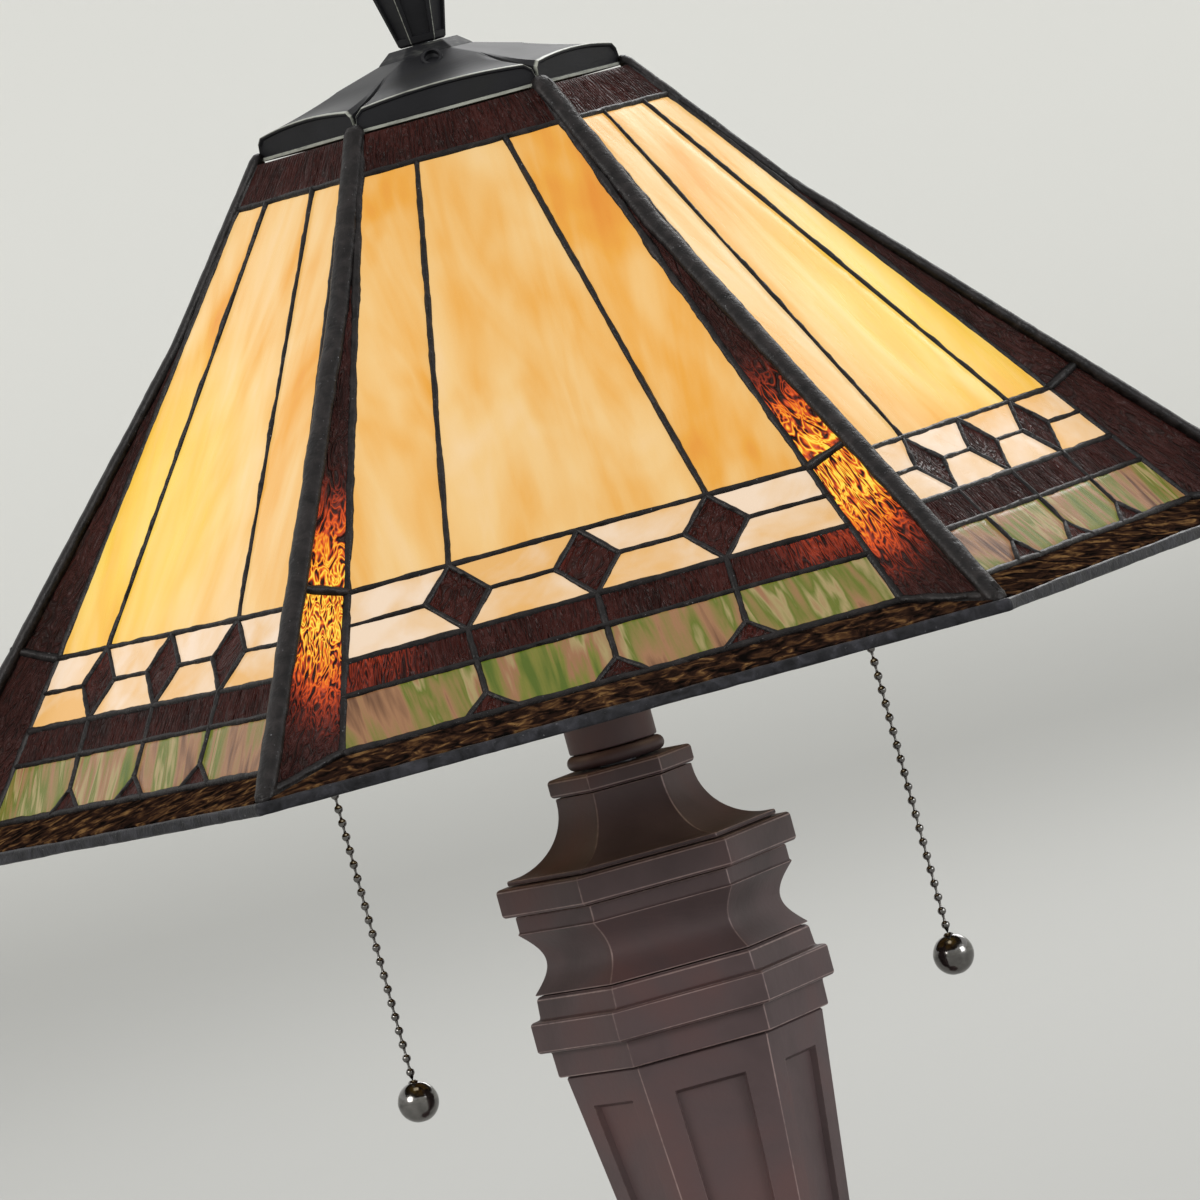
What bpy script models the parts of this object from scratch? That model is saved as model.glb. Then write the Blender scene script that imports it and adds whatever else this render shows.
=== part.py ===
"""Stained glass table lamp: stepped base, tapering column, two-light cluster and a folded glass shade.

Metres, +Z up. The origin is on the table under the lamp's axis, and the shade's front face looks towards -Y.
Corners of every hexagon lie on the X axis. Heights that end in _UP are counted from the bottom of the rim.
"""

import math

import bmesh
import bpy
from mathutils import Matrix, Vector

MM = 0.001
GAP = 0.3                    # clearance between touching pieces, in mm

# Driving dimensions, in mm
RIM_HEIGHT = 362.0           # bottom of the shade's rim above the table
RIM_RADIUS = 203.0           # corner radius of the rim
RIM_DEPTH = 3.4              # height of the metal channel along the rim
RIM_WALL = 5.0               # width of that channel
RIDGE_FALL = 0.9375          # how much the folded corner's radius shrinks for each mm of height
PANEL_APOTHEM = 160.0        # distance of a flat panel's plane from the axis, at rim height
PANEL_FALL = 0.683           # how much that distance shrinks for each mm of height
PANEL_FOOT_UP = 9.8          # bottom edge of the flat panels
PANEL_FOOT_HALF = 76.4       # half width of a flat panel at its bottom edge
PANEL_TOP_UP = 165.2         # top edge of the flat panels, under the cap
PANEL_TOP_HALF = 25.0        # half width at its top edge
GLASS = 3.0                  # thickness of the flat panels
THIN_GLASS = 1.6             # thickness of the folded corners and the border

FOOT_RADIUS = 94.0           # corner radius of the base's lowest tier
STEP_RADIUS = 86.0           # second tier
SWEEP_RADIUS = 74.0          # lower end of the concave sweep
SWEEP_TOP_RADIUS = 23.0
SHAFT_LOW_RADIUS = 15.6
SHAFT_HIGH_RADIUS = 36.8
BORE_RADIUS = 6.8            # corner radius of the hexagonal passage for the lamp rod
ROD_RADIUS = 5.0
STUD_RADIUS = 3.0            # thin end of the rod that carries the finial

SOCKET_X = 66.0              # the sockets hang at this distance on both sides of the axis
CHAIN_X = 77.5
CHAIN_Y = 25.0
CHAIN_RADIUS = 1.2
KNOB_RADIUS = 5.8
KNOB_UP = -98.0              # centre of the pull knobs
GUIDE_MOUTH_UP = 84.0        # lower end of the chain guides
CHAIN_CLEARANCE = 0.9        # lets a chain swing without touching the link above it
BULB_RADIUS = 24.0
BULB_CENTRE_UP = 36.0
SHELL_LOW_UP = 76.0
SHELL_HIGH_UP = 104.0

ROUND_STEPS = 28
SIDES = 6
BORE_APOTHEM = BORE_RADIUS * math.cos(math.radians(30.0))

# name: base colour, roughness, metallic, alpha
FINISHES = {
    "felt": ((0.03, 0.03, 0.03), 0.95, 0.0, 1.0),
    "plain_steel": ((0.30, 0.30, 0.31), 0.45, 1.0, 1.0),
    "cast_iron": ((0.08, 0.08, 0.08), 0.7, 0.6, 1.0),
    "russet_bronze": ((0.11, 0.075, 0.065), 0.42, 0.7, 1.0),
    "blackened_bronze": ((0.035, 0.035, 0.036), 0.4, 0.8, 1.0),
    "brass": ((0.55, 0.40, 0.16), 0.35, 1.0, 1.0),
    "socket_metal": ((0.42, 0.33, 0.20), 0.35, 1.0, 1.0),
    "opal_glass": ((0.90, 0.62, 0.30), 0.25, 0.0, 1.0),
    "amber_glass": ((0.35, 0.13, 0.05), 0.15, 0.0, 1.0),
    "brown_glass": ((0.10, 0.06, 0.03), 0.2, 0.0, 1.0),
    "leaded_rim": ((0.05, 0.05, 0.055), 0.4, 0.9, 1.0),
    "bulb_glass": ((0.95, 0.90, 0.80), 0.1, 0.0, 0.8),
    "bulb_cap": ((0.70, 0.70, 0.70), 0.3, 1.0, 1.0),
    "dark_nickel": ((0.16, 0.15, 0.15), 0.25, 1.0, 1.0),
}


def clear_scene():
    for thing in list(bpy.data.objects):
        bpy.data.objects.remove(thing)


def make_collection(name):
    collection = bpy.data.collections.new(name)
    bpy.context.scene.collection.children.link(collection)
    return collection


def make_material(name):
    colour, roughness, metallic, alpha = FINISHES[name]
    material = bpy.data.materials.new(name)
    material.use_nodes = True
    shader = material.node_tree.nodes["Principled BSDF"]
    shader.inputs["Base Color"].default_value = (*colour, 1.0)
    shader.inputs["Roughness"].default_value = roughness
    shader.inputs["Metallic"].default_value = metallic
    shader.inputs["Alpha"].default_value = alpha
    return material


def add_object(name, data, finish, collection):
    thing = bpy.data.objects.new(name, data)
    collection.objects.link(thing)
    if finish:
        data.materials.append(make_material(finish))
    return thing


def up(height):
    """Height above the table of a level counted from the rim."""
    return RIM_HEIGHT + height


def turned(name, profile, finish, steps=ROUND_STEPS, at=(0.0, 0.0), smooth=True, gap_after=None):
    """A profile of (radius, height) points turned about the vertical axis through `at`.

    The profile runs down its outer side, and closes on itself unless it starts and ends on the axis.
    gap_after is the point not joined to the next one, where a hollow body's two walls meet the axis.
    """
    points = [(radius * MM, 0.0, height * MM) for radius, height in profile]
    edges = [(i, i + 1) for i in range(len(points) - 1) if i != gap_after]
    if profile[0][0] > 0.0:
        edges.append((len(points) - 1, 0))
    mesh = bpy.data.meshes.new(name)
    mesh.from_pydata(points, edges, [])
    thing = add_object(name, mesh, finish, PARTS)
    thing.location = (at[0] * MM, at[1] * MM, 0.0)
    screw = thing.modifiers.new("turn", "SCREW")
    screw.axis = "Z"
    screw.steps = steps
    screw.render_steps = steps
    screw.use_merge_vertices = True
    screw.merge_threshold = 0.00001
    screw.use_smooth_shade = smooth
    return thing


def hexagonal(name, profile, finish):
    """A profile carried round a regular hexagon; its radii are corner radii."""
    return turned(name, profile, finish, steps=SIDES, smooth=False)


def tube(name, points, radius, finish, sides=2):
    """A round rod along a line of points in mm, with its ends closed."""
    curve = bpy.data.curves.new(name, "CURVE")
    curve.dimensions = "3D"
    curve.bevel_depth = radius * MM
    curve.bevel_resolution = sides
    curve.use_fill_caps = True
    spline = curve.splines.new("POLY")
    spline.points.add(len(points) - 1)
    for point, place in zip(spline.points, points):
        point.co = (place[0] * MM, place[1] * MM, place[2] * MM, 1.0)
    return add_object(name, curve, finish, PARTS)


def plate(name, corners, thickness, finish, turn):
    """A flat plate: corners of its outer face, counter-clockwise from outside, then turned about Z."""
    mesh = bpy.data.meshes.new(name)
    mesh.from_pydata([(x * MM, y * MM, z * MM) for x, y, z in corners], [], [tuple(range(len(corners)))])
    thing = add_object(name, mesh, finish, PARTS)
    thing.rotation_euler = (0.0, 0.0, turn)
    wall = thing.modifiers.new("thickness", "SOLIDIFY")
    wall.thickness = thickness * MM
    wall.offset = -1.0
    return thing


def loft(name, sections, finish, turn):
    """A closed solid through sections of equal point counts, listed from low to high."""
    solid = bmesh.new()
    rings = [[solid.verts.new(Vector(point) * MM) for point in section] for section in sections]
    count = len(sections[0])
    for low, high in zip(rings, rings[1:]):
        for i in range(count):
            j = (i + 1) % count
            solid.faces.new((low[i], low[j], high[j], high[i]))
    solid.faces.new(rings[0][::-1])
    solid.faces.new(rings[-1])
    bmesh.ops.triangulate(solid, faces=solid.faces)
    bmesh.ops.recalc_face_normals(solid, faces=solid.faces)
    mesh = bpy.data.meshes.new(name)
    solid.to_mesh(mesh)
    solid.free()
    thing = add_object(name, mesh, finish, PARTS)
    thing.rotation_euler = (0.0, 0.0, turn)
    return thing


def recessed_taper(name, low_radius, high_radius, low, high, side_share, end_margin, depth, finish):
    """A hexagonal taper with one sunk rectangular panel on each facet."""
    solid = bmesh.new()
    bmesh.ops.create_cone(solid, cap_ends=True, segments=SIDES, radius1=low_radius * MM,
                          radius2=high_radius * MM, depth=(high - low) * MM)
    lift = Matrix.Translation((0.0, 0.0, (low + high) / 2 * MM))
    bmesh.ops.transform(solid, matrix=lift @ Matrix.Rotation(math.radians(30.0), 4, "Z"), verts=solid.verts)
    facets = [face for face in solid.faces if len(face.verts) == 4]
    end_share = end_margin / (high - low)
    for facet in facets:
        bmesh.ops.inset_individual(solid, faces=[facet], thickness=0.001)
        sink_panel(solid, facet, side_share, end_share, depth)
    mesh = bpy.data.meshes.new(name)
    solid.to_mesh(mesh)
    solid.free()
    return add_object(name, mesh, finish, PARTS)


def sink_panel(solid, facet, side_share, end_share, depth):
    """Moves an inset face to its place on the facet, then sinks it."""
    outer = {}
    for vert in facet.verts:
        for edge in vert.link_edges:
            other = edge.other_vert(vert)
            if other not in facet.verts:
                outer[vert] = other.co.copy()
    for vert, corner in outer.items():
        level = [place for place in outer.values() if abs(place.z - corner.z) < 1e-6]
        column = [place for place in outer.values() if abs(place.z - corner.z) >= 1e-6]
        beside = max(level, key=lambda place: (place - corner).length)
        above = min(column, key=lambda place: (place - corner).length)
        across = (beside - corner) * side_share
        along = (above - corner) * end_share
        vert.co = corner + across * (1.0 - end_share) + along
    bmesh.ops.inset_individual(solid, faces=[facet], thickness=0.0005, depth=-depth * MM)


def cut(thing, cutter):
    """Subtracts a cutter, which stays hidden in its own collection."""
    cutter.hide_render = True
    cutter.display_type = "WIRE"
    hole = thing.modifiers.new("hole", "BOOLEAN")
    hole.operation = "DIFFERENCE"
    hole.solver = "EXACT"
    hole.object = cutter


def cylinder_cutter(name, radius, depth, centre, turn=(0.0, 0.0, 0.0)):
    bpy.ops.mesh.primitive_cylinder_add(vertices=ROUND_STEPS, radius=radius * MM, depth=depth * MM,
                                        location=[value * MM for value in centre], rotation=turn)
    cutter = bpy.context.object
    cutter.name = name
    for owner in list(cutter.users_collection):
        owner.objects.unlink(cutter)
    CUTTERS.objects.link(cutter)
    return cutter


def arc(centre, radius, start, end, steps):
    """Points (x, height) on an arc, with its angles in degrees from the outward direction."""
    angles = [math.radians(start + (end - start) * i / steps) for i in range(steps + 1)]
    return [(centre[0] + radius * math.cos(a), centre[1] + radius * math.sin(a)) for a in angles]


def sweep(low_radius, low, high_radius, high, steps):
    """A concave quarter-ellipse that leaves its foot level and arrives upright, from its top down."""
    points = []
    for i in range(steps + 1):
        angle = math.pi / 2 * (1.0 - i / steps)
        radius = low_radius - (low_radius - high_radius) * math.sin(angle)
        points.append((radius, low + (high - low) * (1.0 - math.cos(angle))))
    return points


# The shade's geometry, shared by its pieces

def panel_apothem(height_up):
    return PANEL_APOTHEM - PANEL_FALL * height_up


def ridge_radius(height_up):
    return RIM_RADIUS - RIDGE_FALL * height_up


def kink_up():
    """Level above which the folded corner lies flush with the two panels beside it."""
    cos_30 = math.cos(math.radians(30.0))
    return (RIM_RADIUS - PANEL_APOTHEM / cos_30) / (RIDGE_FALL - PANEL_FALL / cos_30)


def panel_half_width(height_up):
    """Half width of a flat panel: a straight line from its foot to its top."""
    share = (height_up - PANEL_FOOT_UP) / (PANEL_TOP_UP - PANEL_FOOT_UP)
    return PANEL_FOOT_HALF + (PANEL_TOP_HALF - PANEL_FOOT_HALF) * share


# Base and column

def make_base():
    hexagonal("felt_pad", [(91, 1.8), (91, 0), (12, 0), (12, 1.8)], "felt")
    hexagonal("base_cover", [(91, 3.6), (91, 2.1), (12, 2.1), (12, 3.6)], "plain_steel")
    foot = hexagonal("base_foot", [(91, 20), (FOOT_RADIUS, 17.5), (FOOT_RADIUS, 3.9), (88, 3.9), (88, 15),
                                   (72, 15), (72, 20)], "russet_bronze")
    wall = FOOT_RADIUS * math.cos(math.radians(30.0))
    cut(foot, cylinder_cutter("cord_hole", 5.3, 30, (0, wall - 2, 9.6), (math.pi / 2, 0.0, 0.0)))
    make_cord_bushing(wall)
    hexagonal("base_step", [(84, 31), (STEP_RADIUS, 29), (STEP_RADIUS, 20.3), (70, 20.3), (70, 31)],
              "russet_bronze")
    outer = sweep(SWEEP_RADIUS, 36, SWEEP_TOP_RADIUS, 76, 8)
    inner = sweep(SWEEP_RADIUS - 5, 33.5, SWEEP_TOP_RADIUS - 3, 71, 6)
    profile = [(SWEEP_TOP_RADIUS, 78)] + outer + [(SWEEP_RADIUS, 31.3), (SWEEP_RADIUS - 5, 31.3)]
    hexagonal("base_sweep", profile + inner[::-1] + [(BORE_RADIUS, 71), (BORE_RADIUS, 78)], "russet_bronze")
    slug = sweep(SWEEP_RADIUS - 7.6, 33, SWEEP_TOP_RADIUS - 5.4, 68, 6)
    hexagonal("base_weight", slug + [(66, 11.3), (BORE_RADIUS, 11.3), (BORE_RADIUS, 68)], "cast_iron")
    hexagonal("base_nut", [(11, 11), (11, 5), (6.2, 5), (6.2, 11)], "plain_steel")
    hexagonal("base_collar", [(21, 90), (22, 89), (22, 85), (26, 85), (27, 84), (27, 79.3), (26, 78.3),
                              (BORE_RADIUS, 78.3), (BORE_RADIUS, 90)], "russet_bronze")


def make_cord_bushing(wall):
    """The bushed hole through which the lamp's lead leaves the back of the foot."""
    bush = turned("cord_bushing", [(8, 2.3), (8, 0.3), (4.9, 0.3), (4.9, -9), (3.2, -9), (3.2, 2.3)],
                  "dark_nickel")
    bush.rotation_euler = (-math.pi / 2, 0.0, 0.0)
    bush.location = (0.0, wall * MM, 9.6 * MM)


def make_shaft():
    low = 90.3
    high = up(-100.5)
    shaft = recessed_taper("shaft", SHAFT_LOW_RADIUS, SHAFT_HIGH_RADIUS, low, high, 0.215, 9.0, 1.8,
                           "russet_bronze")
    cut(shaft, cylinder_cutter("shaft_bore", BORE_APOTHEM, high - low + 20, (0, 0, (low + high) / 2)))


def make_capital():
    """The stepped head of the column, from the ledge over the shaft up to the neck."""
    def piece(name, outline):
        top = outline[0][1]
        bottom = outline[-1][1]
        loop = [(radius, up(height)) for radius, height in outline]
        hexagonal(name, loop + [(BORE_RADIUS, up(bottom)), (BORE_RADIUS, up(top))], "russet_bronze")

    piece("capital_ledge", [(38.4, -77), (39.2, -77.8), (39.6, -83.2), (42.1, -83.6), (42.7, -84.2),
                            (42.7, -91.8), (42.1, -92.4), (39, -92.7), (38.8, -100.2)])
    cove = [(39.5 - 5.8 * math.sin(math.pi * i / 8), -59 - 17.6 * i / 8) for i in range(9)]
    piece("capital_cove", [(38.9, -54), (38.9, -58.5)] + cove)
    piece("capital_plate", [(41.6, -45.6), (42.3, -46.3), (42.3, -53), (41.6, -53.7)])
    piece("capital_sweep", [(19.6, -25.5)] + sweep(38.6, -43.9, 19.6, -26.5, 8) + [(38.6, -45.3)])
    piece("neck_plate", [(20, -20.1), (20.7, -20.8), (20.7, -24.5), (20, -25.2)])


def make_neck():
    bulge = arc((11.8, up(-17.4)), 2.1, 90, -90, 6)
    turned("neck_collar", bulge + [(6, up(-19.5)), (6, up(-15.3))], "russet_bronze")
    turned("neck_tube", [(12.5, up(107.7)), (12.5, up(-15)), (11, up(-15)), (11, up(107.7))],
           "russet_bronze")
    turned("lamp_rod", [(0, up(194)), (STUD_RADIUS, up(194)), (STUD_RADIUS, up(184)),
                        (ROD_RADIUS, up(184)), (ROD_RADIUS, 5), (0, 5)], "plain_steel", steps=16)


# Light cluster

def make_cluster():
    turned("cluster_hub", [(9, up(134)), (14, up(132.5)), (17, up(129)), (17, up(119)), (13.5, up(112)),
                           (13.5, up(108)), (5.4, up(108)), (5.4, up(134))], "brass")
    turned("shade_seat", [(10.8, up(180.7)), (10.8, up(178.2)), (5.4, up(178.2)), (5.4, up(180.7))],
           "plain_steel")
    for side, label in ((-1, "left"), (1, "right")):
        make_arm(side, label)
        make_socket(side, label)
        make_guide(side, label)
        make_bulb(side, label)
        make_pull(side, label)


def make_arm(side, label):
    level = up(124)
    bend = 11.5
    centre = (SOCKET_X - bend, level - bend)
    points = [(17.6, level)] + arc(centre, bend, 90, 0, 6) + [(SOCKET_X, up(112) + GAP)]
    tube(f"arm_{label}", [(side * x, 0.0, z) for x, z in points], 4.5, "brass")


def make_socket(side, label):
    at = (side * SOCKET_X, 0.0)
    dome = [(0, up(112)), (6, up(112)), (11, up(111)), (15.5, up(108)), (17.5, up(105.5)),
            (17.5, up(SHELL_HIGH_UP) + GAP), (0, up(SHELL_HIGH_UP) + GAP)]
    turned(f"socket_cap_{label}", dome, "socket_metal", at=at)
    low, high = up(SHELL_LOW_UP), up(SHELL_HIGH_UP)
    shell = [(17, high), (17, low), (15.9, low), (15.9, high)]
    turned(f"socket_shell_{label}", shell, "socket_metal", at=at)


def make_guide(side, label):
    """The small bent spout on the switch, which leads the pull chain out and down."""
    reach = Vector((CHAIN_X - SOCKET_X, CHAIN_Y))
    outward = reach.normalized()
    bend = 6.0
    level = up(92)
    profile = [(17.4, level)] + arc((reach.length - bend, level - bend), bend, 90, 0, 5)
    profile.append((reach.length, up(GUIDE_MOUTH_UP)))
    points = [(side * (SOCKET_X + outward.x * d), outward.y * d, z) for d, z in profile]
    tube(f"chain_guide_{label}", points, 2.4, "brass")


def bulb_outline(shrink):
    """Pear-shaped bulb from its neck down to its tip on the axis."""
    neck_top = SHELL_LOW_UP + 1.6
    steps = 8
    outline = []
    for i in range(steps):
        share = i / steps
        blend = share * share * (3.0 - 2.0 * share)
        height = neck_top + (BULB_CENTRE_UP - neck_top) * share
        outline.append((13.2 - shrink + (BULB_RADIUS - 13.2) * blend, up(height)))
    ball = arc((0.0, up(BULB_CENTRE_UP)), BULB_RADIUS - shrink, 0, -90, 8)
    ball[-1] = (0.0, ball[-1][1])
    return outline + ball


def make_bulb(side, label):
    """The glass is one open wall: down its outside to the tip, and back up its inside to the neck."""
    at = (side * SOCKET_X, 0.0)
    outer = bulb_outline(0.0)
    inner = bulb_outline(0.9)
    turned(f"bulb_glass_{label}", outer + inner[::-1], "bulb_glass", at=at, gap_after=len(outer) - 1)
    low = up(SHELL_LOW_UP + 1.9)
    shell = [(0, low + 24), (4, low + 24), (6, low + 22), (12.4, low + 18), (13, low + 17), (13, low + 1),
             (12.2, low), (0, low)]
    turned(f"bulb_cap_{label}", shell, "bulb_cap", at=at)


def make_pull(side, label):
    at = (side * CHAIN_X, CHAIN_Y)
    link_top = up(GUIDE_MOUTH_UP) - GAP
    link_low = link_top - 6.5
    turned(f"pull_link_{label}", [(0, link_top), (1.5, link_top), (1.5, link_top - 1.5), (2.3, link_top - 3),
                                  (2.3, link_low), (0, link_low)], "dark_nickel", steps=12, at=at)
    knob_top = up(KNOB_UP) + KNOB_RADIUS + 1.2
    high = link_low - CHAIN_CLEARANCE
    low = knob_top + GAP
    count = 9
    line = [(*at, high + (low - high) * i / (count - 1)) for i in range(count)]
    tube(f"pull_chain_{label}", line, CHAIN_RADIUS, "dark_nickel")
    ball = arc((0.0, up(KNOB_UP)), KNOB_RADIUS, 68, -68, 10)
    outline = [(0, knob_top), (1.8, knob_top), (2.0, ball[0][1] + 0.3)] + ball
    recess = [(1.3, ball[-1][1]), (1.3, ball[-1][1] + 2.0), (0, ball[-1][1] + 2.0)]
    turned(f"chain_knob_{label}", outline + recess, "dark_nickel", steps=20, at=at)


# Shade

def make_panels():
    names = ["front", "front_right", "back_right", "back", "back_left", "front_left"]
    right = []
    for level in (PANEL_FOOT_UP, PANEL_TOP_UP):
        right.append((panel_half_width(level) - 0.4, -panel_apothem(level), up(level)))
    left = [(-x, y, z) for x, y, z in right]
    corners = [left[0]] + right + [left[1]]
    for k, label in enumerate(names):
        plate(f"panel_{label}", corners, GLASS, "opal_glass", math.radians(60.0 * k))


def hip_section(level_edge, level_ridge, hollow):
    """Arrowhead section of a folded corner, in a frame where the corner points to -Y.

    The two outer points lie on the panels' edges and the tip on the ridge. `hollow` is how far the inner fold
    stands in front of the line between the two edges.
    """
    half = panel_half_width(level_edge) + 0.4
    apothem = panel_apothem(level_edge)
    cos_30 = math.cos(math.radians(30.0))
    edge_x = 0.5 * apothem - cos_30 * half
    edge_y = -(0.5 * half + cos_30 * apothem)
    edge_up = up(level_edge)
    tip = (0.0, -max(ridge_radius(level_ridge), panel_apothem(level_ridge) / cos_30), up(level_ridge))
    fold = (0.0, edge_y - hollow, edge_up)
    thick = min(THIN_GLASS, edge_x * 0.9)
    outer = [(-edge_x, edge_y, edge_up), tip, (edge_x, edge_y, edge_up)]
    inner = [(edge_x - thick, edge_y + 0.4, edge_up), fold, (thick - edge_x, edge_y + 0.4, edge_up)]
    return outer + inner


def make_hips():
    kink = kink_up()
    foot = PANEL_FOOT_UP
    fill_level = kink * 0.75
    top = PANEL_TOP_UP - 7.0
    foot_depth = hip_section(foot, foot, 0.0)[0][1] + ridge_radius(foot)
    sections = [hip_section(foot, RIM_DEPTH + 2.2, foot_depth - 5.5)]
    sections += [hip_section(level, level, 0.2) for level in (fill_level, kink, top)]
    labels = ["front_right", "right", "back_right", "back_left", "left", "front_left"]
    for k, label in enumerate(labels):
        loft(f"hip_{label}", sections, "amber_glass", math.radians(30.0 + 60.0 * k))


def make_borders():
    """The narrow glass strips that flare from the panels' feet out to the rim."""
    inner_apothem = panel_apothem(PANEL_FOOT_UP) + 0.6
    outer_apothem = RIM_RADIUS * math.cos(math.radians(30.0)) - 3.5
    inner_up = up(PANEL_FOOT_UP - 0.6)
    outer_up = up(RIM_DEPTH + 2.0)
    corners = [(-95.5, -outer_apothem, outer_up), (95.5, -outer_apothem, outer_up),
               (75.5, -inner_apothem, inner_up), (-75.5, -inner_apothem, inner_up)]
    labels = ["front", "front_right", "back_right", "back", "back_left", "front_left"]
    for k, label in enumerate(labels):
        plate(f"border_{label}", corners, THIN_GLASS, "brown_glass", math.radians(60.0 * k))


def make_rim():
    inner = RIM_RADIUS - RIM_WALL
    hexagonal("rim_channel", [(RIM_RADIUS, up(RIM_DEPTH)), (RIM_RADIUS, up(0)), (inner, up(0)),
                              (inner, up(RIM_DEPTH))], "leaded_rim")


def make_cap():
    outer = [(10.4, 185.3), (13.1, 182.7), (26.6, 178.7), (50.7, 168.0), (51.5, 165.5)]
    inner = [(49.7, 165.5), (49.0, 167.2), (25.6, 177.2), (12.5, 181.0), (6.2, 181.0), (6.2, 185.3)]
    profile = [(radius, up(height)) for radius, height in outer + inner]
    hexagonal("shade_cap", profile, "blackened_bronze")


def make_finial():
    low = up(185.6)
    high = up(219)
    finial = recessed_taper("finial", 6.7, 14.6, low, high, 0.2, 2.2, 0.9, "blackened_bronze")
    cut(finial, cylinder_cutter("finial_hole", STUD_RADIUS + 0.3, 22, (0, 0, low)))
    top = high + GAP
    crown = [(0, top + 14), (2.2, top + 13), (13.4, top + 5), (14.6, top + 4.4), (16.4, top + 3.6),
             (16.4, top + 0.6), (15.6, top), (0, top)]
    hexagonal("finial_crown", crown, "blackened_bronze")


clear_scene()
PARTS = make_collection("stained_glass_table_lamp")
CUTTERS = make_collection("cutters")
make_base()
make_shaft()
make_capital()
make_neck()
make_cluster()
make_panels()
make_hips()
make_borders()
make_rim()
make_cap()
make_finial()
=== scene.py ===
"""Stained glass table lamp: the finished look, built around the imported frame.

Laid out as an add-on and run as a script. Lengths in the profiles are millimetres; heights ending in _up are
counted from the bottom of the shade's rim. Meshes are made in metres, in the frame's own axes.
"""

import math

import bpy
import numpy as np
from mathutils import Matrix, Vector


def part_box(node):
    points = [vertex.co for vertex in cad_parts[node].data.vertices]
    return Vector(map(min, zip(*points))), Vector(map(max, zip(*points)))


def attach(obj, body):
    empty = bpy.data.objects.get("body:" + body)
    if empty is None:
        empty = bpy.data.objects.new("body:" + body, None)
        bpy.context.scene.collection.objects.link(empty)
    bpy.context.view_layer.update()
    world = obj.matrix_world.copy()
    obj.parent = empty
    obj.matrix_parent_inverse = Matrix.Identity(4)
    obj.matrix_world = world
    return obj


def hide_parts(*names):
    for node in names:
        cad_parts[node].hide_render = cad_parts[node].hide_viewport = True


bl_info = {
    "name": "Stained Glass Table Lamp",
    "version": (1, 0, 0),
    "blender": (4, 5, 0),
    "location": "View3D > Sidebar > Lamp",
    "description": "Builds the glass, lead, bronze and light fittings of a folded stained glass lamp",
    "category": "Object",
}

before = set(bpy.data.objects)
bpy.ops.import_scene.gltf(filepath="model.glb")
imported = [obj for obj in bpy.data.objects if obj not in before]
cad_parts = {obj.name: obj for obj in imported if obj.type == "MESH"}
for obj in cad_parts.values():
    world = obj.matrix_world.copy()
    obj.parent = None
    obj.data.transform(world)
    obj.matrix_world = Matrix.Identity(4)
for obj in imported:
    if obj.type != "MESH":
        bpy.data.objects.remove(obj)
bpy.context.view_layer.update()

MM = 0.001
RIM_LOW, RIM_HIGH = (np.array(corner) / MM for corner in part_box("rim_channel"))
RIM_Z = RIM_LOW[2]
RIM_RADIUS = RIM_HIGH[0]
FACES = ("front", "front_right", "back_right", "back", "back_left", "front_left")
CORNERS = ("front_right", "right", "back_right", "back_left", "left", "front_left")
SIDES = ((-1, "left"), (1, "right"))
COS_30 = math.cos(math.radians(30.0))
TAN_30 = math.tan(math.radians(30.0))
TAU = 2.0 * math.pi
BORE_RADIUS = 6.8
TRIANGLE_RISE = 0.72
CHAIN_X = 77.5
CHAIN_Y = 25.0
CHAIN_TOP = 77.1
CHAIN_FOOT = -92.0
KNOB_UP = -98.0
KNOB_RADIUS = 5.8
ARM_UP = 124.0
SPOUT_UP = 92.0
CAMERA_DISTANCE = 2.98207
BOWL_STEPS = 96


# ---------------------------------------------------------------- settings

def length_prop(name, description, value):
    """A length in millimetres, as a plain number."""
    return bpy.props.FloatProperty(name=name, description=description, default=value)


def colour_prop(name, description, value):
    return bpy.props.FloatVectorProperty(name=name, description=description, default=value, size=3,
                                         subtype="COLOR", min=0.0, max=1.0)


def tone(red, green, blue):
    """A display colour of 0 to 255 a channel, as the linear values that shaders use."""
    def linear(value):
        value /= 255.0
        return value / 12.92 if value <= 0.04045 else ((value + 0.055) / 1.055) ** 2.4
    return (linear(red), linear(green), linear(blue))


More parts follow.
